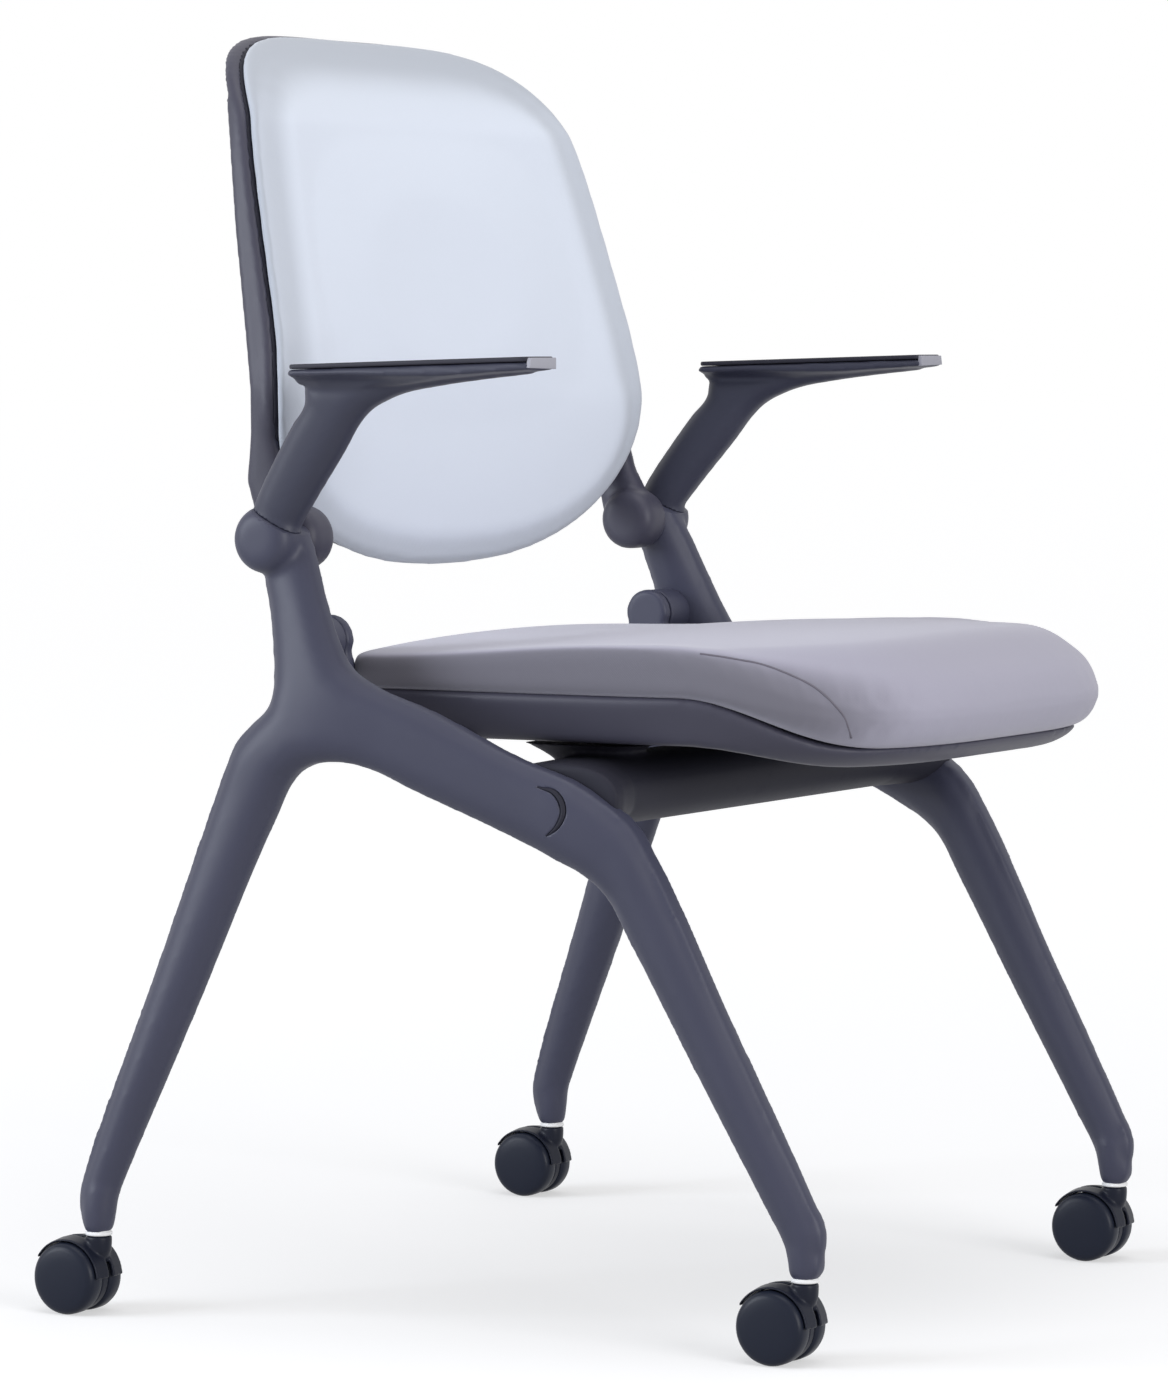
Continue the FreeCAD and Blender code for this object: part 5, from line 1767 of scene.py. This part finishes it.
        def placed(p: Vector) -> Vector:
            """Sets a point of the slab between the seam, where the side curls in, and the top.

            Args:
                p: a vertex's place, in metres.

            Returns:
                Its new place.
            """
            x, y = p.x / MM, p.y / MM
            inwards = rim.inwards(p.x, p.y) / MM
            low = self.seam_z(y) + 0.5 + mix(*self.curl, self.dipped(y)) * quarter(inwards / self.curl_r)
            share = (p.z + half_t) / (2.0 * half_t)
            return Vector((p.x, p.y, mix(low, self.cushion_z(x, y, inwards), share) * MM))

        def held(p: Vector) -> bool:
            """Whether the point lies low at the seam or near the rim.

            Args:
                p: a vertex's place, in metres.

            Returns:
                Whether it is held.
            """
            y = p.y / MM
            low = p.z < (self.seam_z(y) + mix(*self.hold_z, self.dipped(y))) * MM
            return low or rim.inwards(p.x, p.y) < self.hold_rim * MM

        moved(piece, placed)
        puffed(piece, held)
        return skinned(piece, 4)

    def shell(self) -> bpy.types.Object:
        """The moulded tray under the cushion.

        Returns:
            The tray.
        """
        half_t = self.shell_half_t * MM
        piece = fused(as_object("seat_tray", slab(self.outline(0.8), half_t, 2.0 * MM)), 3.4 * MM, 1)
        side, front = self.shell_inset

        def placed(p: Vector) -> Vector:
            """Sets a point of the slab between the seam and the underside, drawn in below.

            Args:
                p: a vertex's place, in metres.

            Returns:
                Its new place.
            """
            x, y = p.x / MM, p.y / MM
            share = (p.z + half_t) / (2.0 * half_t)
            nose = self.dipped(y)
            draft = mix((1.0 - share) * side, (1.0 - share) ** 2 * front, nose) + self.nose_over * nose
            low = self.seam_z(y) - mix(*self.shell_h, nose)
            x, y, z = *shrunk(x, y, self.middle_y, draft), mix(low, self.seam_z(y) + self.shell_lap, share)
            return Vector((x, y, z)) * MM

        moved(piece, placed)
        return fused(piece, 2.4 * MM, 2)

    def board(self) -> bpy.types.Object:
        """The wooden board between tray and cushion, hidden from outside.

        Returns:
            The board.
        """
        board = slab(self.outline(self.board_inset), self.board_half_t * MM, 0.8 * MM)
        piece = fused(as_object("seat_plywood", board), 3.0 * MM, 0)

        def placed(p: Vector) -> Vector:
            """Lifts a point of the level board to its place under the seam."""
            return Vector((p.x, p.y, p.z + (self.seam_z(p.y / MM) - self.board_depth) * MM))

        return moved(piece, placed)

    def seam(self, cushion: bpy.types.Object) -> bpy.types.Object:
        """The sewn line on both sides of the cushion, as a thin cord half sunk in its groove.

        Args:
            cushion: the cushion that it lies on.

        Returns:
            Both cords as one piece.
        """
        lines = [[(side.value * x, y, z) for x, y, z in self.sewn] for side in Side]
        cords = [traced(cushion, line, self.thread_r) for line in lines]
        return as_object("seat_sewn_line", gathered(cords))


@dataclass
class Hinge:
    """Seat bracket: an eye round the pivot, an arm behind the cushion and a foot under the tray."""

    side: Side
    eye_r: float = 16.5
    eye: Point = (122.0, 466.0)
    plate_x: Point = (219.5, 229.4)
    radius: float = 3.0 * MM
    grow: float = 0.8 * MM
    voxel: float = 1.4 * MM
    foot_low: Triple = (195.6, 13.0, 396.9)
    foot_high: Triple = (229.4, 92.0, 400.9)
    arm_rear: tuple[Point, ...] = (
        (137.0, 455.0), (134.0, 428.0), (120.0, 404.0), (100.0, 397.0), (40.0, 397.0),
    )
    arm_front: tuple[Point, ...] = (
        (40.0, 400.8), (84.0, 402.0), (101.0, 409.0), (106.0, 426.0), (104.0, 448.0),
    )

    def build(self) -> bpy.types.Object:
        """Makes the bracket, domed like the rest of the moulded frame.

        Returns:
            The bracket.
        """
        y, z = self.eye
        turns = [math.radians(a) for a in range(205, -30, -15)]
        crown = tuple((y + self.eye_r * math.cos(a), z + self.eye_r * math.sin(a)) for a in turns)
        x0, x1 = self.plate_x
        outline = crown + self.arm_rear + self.arm_front
        piece = rounded(outline, 0.5 * (x1 - x0) * MM, self.radius, self.grow, self.voxel)
        piece.name = f"{self.side.word}_seat_bracket"
        moved(piece, lambda p: p + ACROSS * (0.5 * (x0 + x1) * MM))
        joined(piece, block(self.foot_low, self.foot_high))
        return sided(fused(piece, self.voxel, 4), self.side)


@dataclass
class Crossbeam:
    """Oval beam between the two sides, with the saddles that the seat comes down on.

    The saddle's levels give Z, its front and rear, and half its width.
    """

    middle: Point = (-62.0, 366.0)
    stations: tuple[float, ...] = (
        -252.0, -240.0, -225.0, -200.0, -160.0, 0.0, 160.0, 200.0, 225.0, 240.0, 252.0,
    )
    flare: float = 0.6
    flare_x: Point = (198.0, 248.0)
    flare_shift: float = 13.0
    half_w: Point = (42.6, 55.0)
    half_h: Point = (23.4, 23.0)
    saddle_x: float = 150.0
    saddle_levels: tuple[tuple[float, float, float, float], ...] = (
        (362.0, -66.0, -30.0, 17.0), (372.0, -66.0, -26.0, 16.5), (380.0, -64.5, -22.0, 17.0),
        (386.0, -66.5, -17.0, 18.5), (391.0, -73.0, -8.0, 21.5), (394.5, -84.0, 0.0, 25.0),
        (396.2, -92.0, 5.0, 27.0),
    )
    voxel: float = 2.2 * MM

    def beam(self) -> bmesh.types.BMesh:
        """The beam, wider at its ends.

        Returns:
            Its mesh.
        """
        rings = []
        y, z = self.middle
        for x in self.stations:
            flare = self.flare * ramp(*self.flare_x, abs(x))
            centre = Vector((x, y - self.flare_shift * flare, z)) * MM
            rings.append(oval(centre, mix(*self.half_w, flare), mix(*self.half_h, flare), 2.5, 56, ALONG, UP))
        return loft(rings)

    def saddle(self, side: Side) -> bmesh.types.BMesh:
        """One saddle, which spreads to its top.

        Args:
            side: which of the two.

        Returns:
            Its mesh.
        """
        rings = []
        for z, front, rear, half in self.saddle_levels:
            centre = Vector((side.value * self.saddle_x, 0.5 * (front + rear), z)) * MM
            rings.append(oval(centre, half, 0.5 * (rear - front), 3.4, 40))
        return loft(rings)

    def build(self) -> bpy.types.Object:
        """Melts beam and saddles together."""
        parts = [self.beam()] + [self.saddle(side) for side in Side]
        return fused(as_object("crossbeam_moulding", gathered(parts)), self.voxel, 4)


# Casters

@dataclass
class Caster:
    """Twin-wheel caster: the hood with its fenders and neck, two wheels, and the collar in the leg over it.

    The neck's levels give Z, half the width, half the depth and Y; the wheel's profile and the collar's
    give X or Z and the radius.
    """

    side: Side
    row: Row
    trail: float = 18.0
    wheel_r: float = 25.0
    gap: float = 9.0
    web_half: float = 4.1
    web_r: float = 23.6
    web_edge: float = 1.2
    fender_x: Point = (2.5, 16.0)
    fender_gap: float = 1.1
    fender_t: float = 2.7
    fender_front: float = 88.0
    fender_turn: float = -148.0
    fender_steps: int = 44
    voxel: float = 0.9 * MM
    neck_levels: tuple[tuple[float, float, float, float], ...] = (
        (8.0, 3.8, 8.0, -14.0), (14.0, 6.0, 9.0, -15.5), (19.0, 8.8, 9.6, -17.0),
        (25.0, 8.9, 9.0, -18.0), (29.6, 8.9, 8.9, -18.0),
    )
    wheel_profile: tuple[Point, ...] = (
        (16.6, 0.0), (16.5, 6.0), (16.2, 13.0), (15.6, 19.5), (14.7, 22.4), (13.0, 24.1), (10.5, 24.9),
        (6.0, 25.0), (2.6, 24.9), (0.9, 24.2), (0.1, 22.6), (0.1, 20.5), (0.9, 19.8), (0.9, 6.0),
        (0.3, 5.2), (0.3, 0.0),
    )
    wheel_steps: int = 72
    collar_profile: tuple[Point, ...] = ((55.1, 8.9), (55.5, 9.3), (57.2, 9.3), (57.6, 8.4), (78.0, 8.4))

    @property
    def name(self) -> str:
        """Start of the names of its nodes and bodies."""
        return f"{self.row.word}_{self.side.word}"

    def foot(self) -> Point:
        """X and Y of the stem."""
        x, y = FEET[self.row]
        return x * self.side.value, y * self.row.value

    def placed(self, piece: bpy.types.Object) -> bpy.types.Object:
        """Sets a piece made round the axle's middle where the caster is.

        Args:
            piece: the piece.

        Returns:
            The same piece.
        """
        x, y = self.foot()
        centre = Vector((x, y + self.trail, self.wheel_r)) * MM
        return moved(piece, lambda p: p + centre)

    def fender(self, side: Side) -> bmesh.types.BMesh:
        """Curved cover over one wheel, from ahead of the neck round to the rear.

        Args:
            side: which wheel it covers.

        Returns:
            Its mesh.
        """
        bm = bmesh.new()
        inner = self.wheel_r + self.fender_gap
        outer = inner + self.fender_t
        x0, x1 = (x * side.value for x in self.fender_x)
        corners = ((x0, inner), (x1, inner - 0.2), (x1, outer - 1.6), (x0, outer))
        made = bmesh.ops.create_circle(bm, cap_ends=True, segments=len(corners), radius=1.0)
        for vert, (x, r) in zip(made["verts"], corners):
            vert.co = Vector((x, 0.0, r)) * MM
        start = Matrix.Rotation(math.radians(self.fender_front), 3, "X")
        bmesh.ops.rotate(bm, verts=bm.verts, matrix=start)
        turn, steps = math.radians(self.fender_turn), self.fender_steps
        bmesh.ops.spin(bm, geom=bm.faces[:], axis=ACROSS, cent=(0.0, 0.0, 0.0), angle=turn, steps=steps)
        bmesh.ops.recalc_face_normals(bm, faces=bm.faces)
        return bm

    def hood(self) -> bpy.types.Object:
        """Web, fenders and neck melted into one moulding.

        Returns:
            The hood.
        """
        web = barrel((-self.web_half, self.web_half), 0.0, 0.0, self.web_r, self.web_edge)
        neck = []
        for z, half_x, half_y, y in self.neck_levels:
            neck.append(oval(Vector((0.0, y, z)) * MM, half_x, half_y, 2.1, 40))
        parts = [web, loft(neck)] + [self.fender(side) for side in Side]
        return self.placed(fused(as_object(f"{self.name}_hood", gathered(parts)), self.voxel, 5))

    def wheel(self, which: Side) -> bpy.types.Object:
        """One wheel: domed face, rounded tread and a stepped rim on its inner side.

        Args:
            which: which of the two.

        Returns:
            The wheel.
        """
        bm = bmesh.new()
        verts = [bm.verts.new(Vector((x, 0.0, r)) * MM) for x, r in self.wheel_profile]
        edges = [bm.edges.new(pair) for pair in zip(verts, verts[1:])]
        bmesh.ops.spin(
            bm, geom=verts + edges, axis=ACROSS, cent=(0.0, 0.0, 0.0), angle=2.0 * math.pi,
            steps=self.wheel_steps, use_merge=True,
        )
        bmesh.ops.remove_doubles(bm, verts=bm.verts, dist=MERGE)
        bmesh.ops.recalc_face_normals(bm, faces=bm.faces)
        bmesh.ops.translate(bm, verts=bm.verts, vec=(0.5 * self.gap * MM, 0.0, 0.0))
        return self.placed(as_object(f"{self.name}_tyre_{which.word}", flipped(bm, which)))

    def collar(self) -> bmesh.types.BMesh:
        """The pale nylon socket in the leg's end, whose lip shows above the caster."""
        x, y = self.foot()
        return loft([oval(Vector((x, y, z)) * MM, r, r, 2.0, 40) for z, r in self.collar_profile])


# Studio

@dataclass(frozen=True)
class Lamp:
    """One square soft lamp: where it stands, what it aims at, its size in metres and its power in watts."""

    name: str
    place: Triple
    aim: Triple
    size: float
    power: float
    colour: Triple = (1.0, 1.0, 1.0)

    def build(self) -> None:
        """Puts the lamp into the scene."""
        light = bpy.data.lights.new(self.name, "AREA")
        light.shape = "SQUARE"
        light.size = self.size
        light.energy = self.power
        light.color = self.colour
        holder = bpy.data.objects.new(self.name, light)
        holder.location = self.place
        holder.rotation_euler = (Vector(self.aim) - Vector(self.place)).to_track_quat("-Z", "Y").to_euler()
        bpy.context.scene.collection.objects.link(holder)


@dataclass
class Studio:
    """Floor, soft light and the camera, in metres and degrees."""

    place: Triple = (-3.49692, -1.95521, 0.67132)
    azimuth: float = -60.17267
    elevation: float = 3.648306
    lens: float = 145.04
    sensor: float = 36.0
    far: float = 60.0
    floor_size: float = 60.0
    floor_colour: Triple = (0.5, 0.5, 0.51)
    floor_glow: Point = (0.8, 0.3)
    floor_spread: float = 4.8
    light_level: float = 0.4
    lamps: tuple[Lamp, ...] = (
        Lamp("side", (-3.0, 3.0, 1.7), (0.0, 0.0, 0.55), 2.2, 140.0, (0.88, 0.93, 1.0)),
        Lamp("top", (-0.4, -0.4, 3.6), (0.0, -0.1, 0.5), 2.4, 42.0),
        Lamp("front", (-1.6, -4.1, 1.3), (0.0, 0.0, 0.65), 2.2, 110.0),
    )

    def camera(self) -> None:
        """The camera at the photograph's viewpoint."""
        a, e = math.radians(self.azimuth), math.radians(self.elevation)
        back = Vector((math.sin(a) * math.cos(e), -math.cos(a) * math.cos(e), math.sin(e)))
        right = Vector((math.cos(a), math.sin(a), 0.0))
        up = back.cross(right)
        lens = bpy.data.cameras.new("camera")
        lens.lens = self.lens
        lens.sensor_width = self.sensor
        lens.clip_end = self.far
        holder = bpy.data.objects.new("camera", lens)
        turn = Matrix((right, up, back)).transposed().to_4x4()
        holder.matrix_world = Matrix.Translation(self.place) @ turn
        bpy.context.scene.collection.objects.link(holder)
        bpy.context.scene.camera = holder

    def floor(self) -> None:
        """A pale floor that keeps a soft shadow near the chair and looks white elsewhere."""
        bm = bmesh.new()
        bmesh.ops.create_grid(bm, x_segments=1, y_segments=1, size=self.floor_size)
        piece = as_object("floor", bm)
        shade = Shade("floor_white")
        x, y, _ = shade.axes()
        near = 1.0 / ((x * x + y * y) / self.floor_spread + 1.0)
        full, less = self.floor_glow
        glow = seen_rays(shade.tree) * (full - near * less)
        shade.set(
            Base_Color=(*self.floor_colour, 1.0),
            Roughness=0.9,
            Specular_IOR_Level=0.0,
            Emission_Strength=1.0,
            Emission_Color=shade.blend(glow, (0.0, 0.0, 0.0), (1.0, 1.0, 1.0)),
        )
        piece.data.materials.append(shade.material)

    def world(self) -> None:
        """Even white surroundings, dimmer as light than they look."""
        world = bpy.data.worlds.new("studio")
        world.use_nodes = True
        tree = world.node_tree
        background = tree.nodes["Background"]
        background.inputs["Color"].default_value = (1.0, 1.0, 1.0, 1.0)
        level = seen_rays(tree) * (1.0 - self.light_level) + self.light_level
        tree.links.new(level.source, background.inputs["Strength"])
        bpy.context.scene.world = world

    def build(self) -> None:
        """Sets up the whole studio."""
        self.camera()
        self.floor()
        self.world()
        for lamp in self.lamps:
            lamp.build()
        bpy.context.scene.view_settings.view_transform = "Standard"


# Whole chair

def build_side(side: Side, finish: dict[str, bpy.types.Material]) -> None:
    """Frame, arm, casters and seat bracket of one side.

    Args:
        side: which side.
        finish: the materials by slot.
    """
    word = side.word
    body, slot_shadow = SideFrame(side).build()
    moulded = (f"{word}_rear_frame", f"{word}_front_leg", f"{word}_hub_cap")
    settle(body, "frame", "frame_plastic", finish["frame_plastic"], *moulded)
    # The dark cord in the crescent slot is painted shadow.
    settle(slot_shadow, "frame", "frame_plastic", finish["beam_plastic"])
    arm = Arm(side)
    settle(arm.build(), "frame", "arm_plastic", finish["arm_plastic"], f"{word}_arm")
    settle(arm.pad(), "frame", "arm_pad_plastic", finish["arm_pad_plastic"], f"{word}_arm_pad")
    settle(arm.inlay(), "frame", "tip_plastic", finish["tip_plastic"], f"{word}_arm_tip")
    for row in Row:
        caster = Caster(side, row)
        name = caster.name
        hood = caster.hood()
        settle(hood, f"{name}_caster", "caster_plastic", finish["caster_plastic"], f"{name}_caster_hood")
        for which in Side:
            wheel = f"{name}_wheel_{which.word}"
            settle(caster.wheel(which), wheel, "wheel_plastic", finish["wheel_plastic"], wheel)
    settle(Hinge(side).build(), "seat", "steel", finish["frame_plastic"], f"{word}_seat_hinge")


def build_back(finish: dict[str, bpy.types.Material]) -> None:
    """The back with its board, band, shell and pad.

    Args:
        finish: the materials by slot.
    """
    back = Backrest()
    settle(back.board(), "back", "board_wood", finish["board_wood"], "back_board")
    # The dark band is painted shadow in the gap between pad and shell.
    settle(back.edge_band(), "back", "back_plastic", finish["beam_plastic"])
    settle(back.shell(), "back", "back_plastic", finish["back_plastic"], "back_frame")
    settle(back.pad(), "back", "back_fabric", finish["back_fabric"], "back_pad")


def build_seat(finish: dict[str, bpy.types.Material]) -> None:
    """The seat with its board, tray, sewn line and cushion.

    Args:
        finish: the materials by slot.
    """
    seat = Seat()
    settle(seat.board(), "seat", "board_wood", finish["board_wood"], "seat_board")
    settle(seat.shell(), "seat", "shell_plastic", finish["shell_plastic"], "seat_shell")
    cushion = seat.cushion()
    settle(seat.seam(cushion), "seat", "seat_fabric", finish["seam_thread"])
    settle(cushion, "seat", "seat_fabric", finish["seat_fabric"], "seat_cushion")


def main() -> None:
    """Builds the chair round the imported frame."""
    logging.basicConfig(level=logging.INFO, format="%(name)s: %(message)s")
    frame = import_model()
    finishes = Finishes()
    finishes.dress_nodes(frame)
    finish = finishes.by_slot
    for side in Side:
        build_side(side, finish)
    casters = [Caster(side, row) for side in Side for row in Row]
    collars = as_object("foot_collars", gathered([caster.collar() for caster in casters]))
    settle(collars, "frame", "socket_nylon", finish["socket_nylon"], "caster_sockets")
    # The crossbeam wears the darker plastic as painted shade under the seat.
    settle(Crossbeam().build(), "frame", "frame_plastic", finish["beam_plastic"], "crossbeam", "seat_rests")
    build_back(finish)
    build_seat(finish)
    Studio().build()


if __name__ == "__main__":
    main()
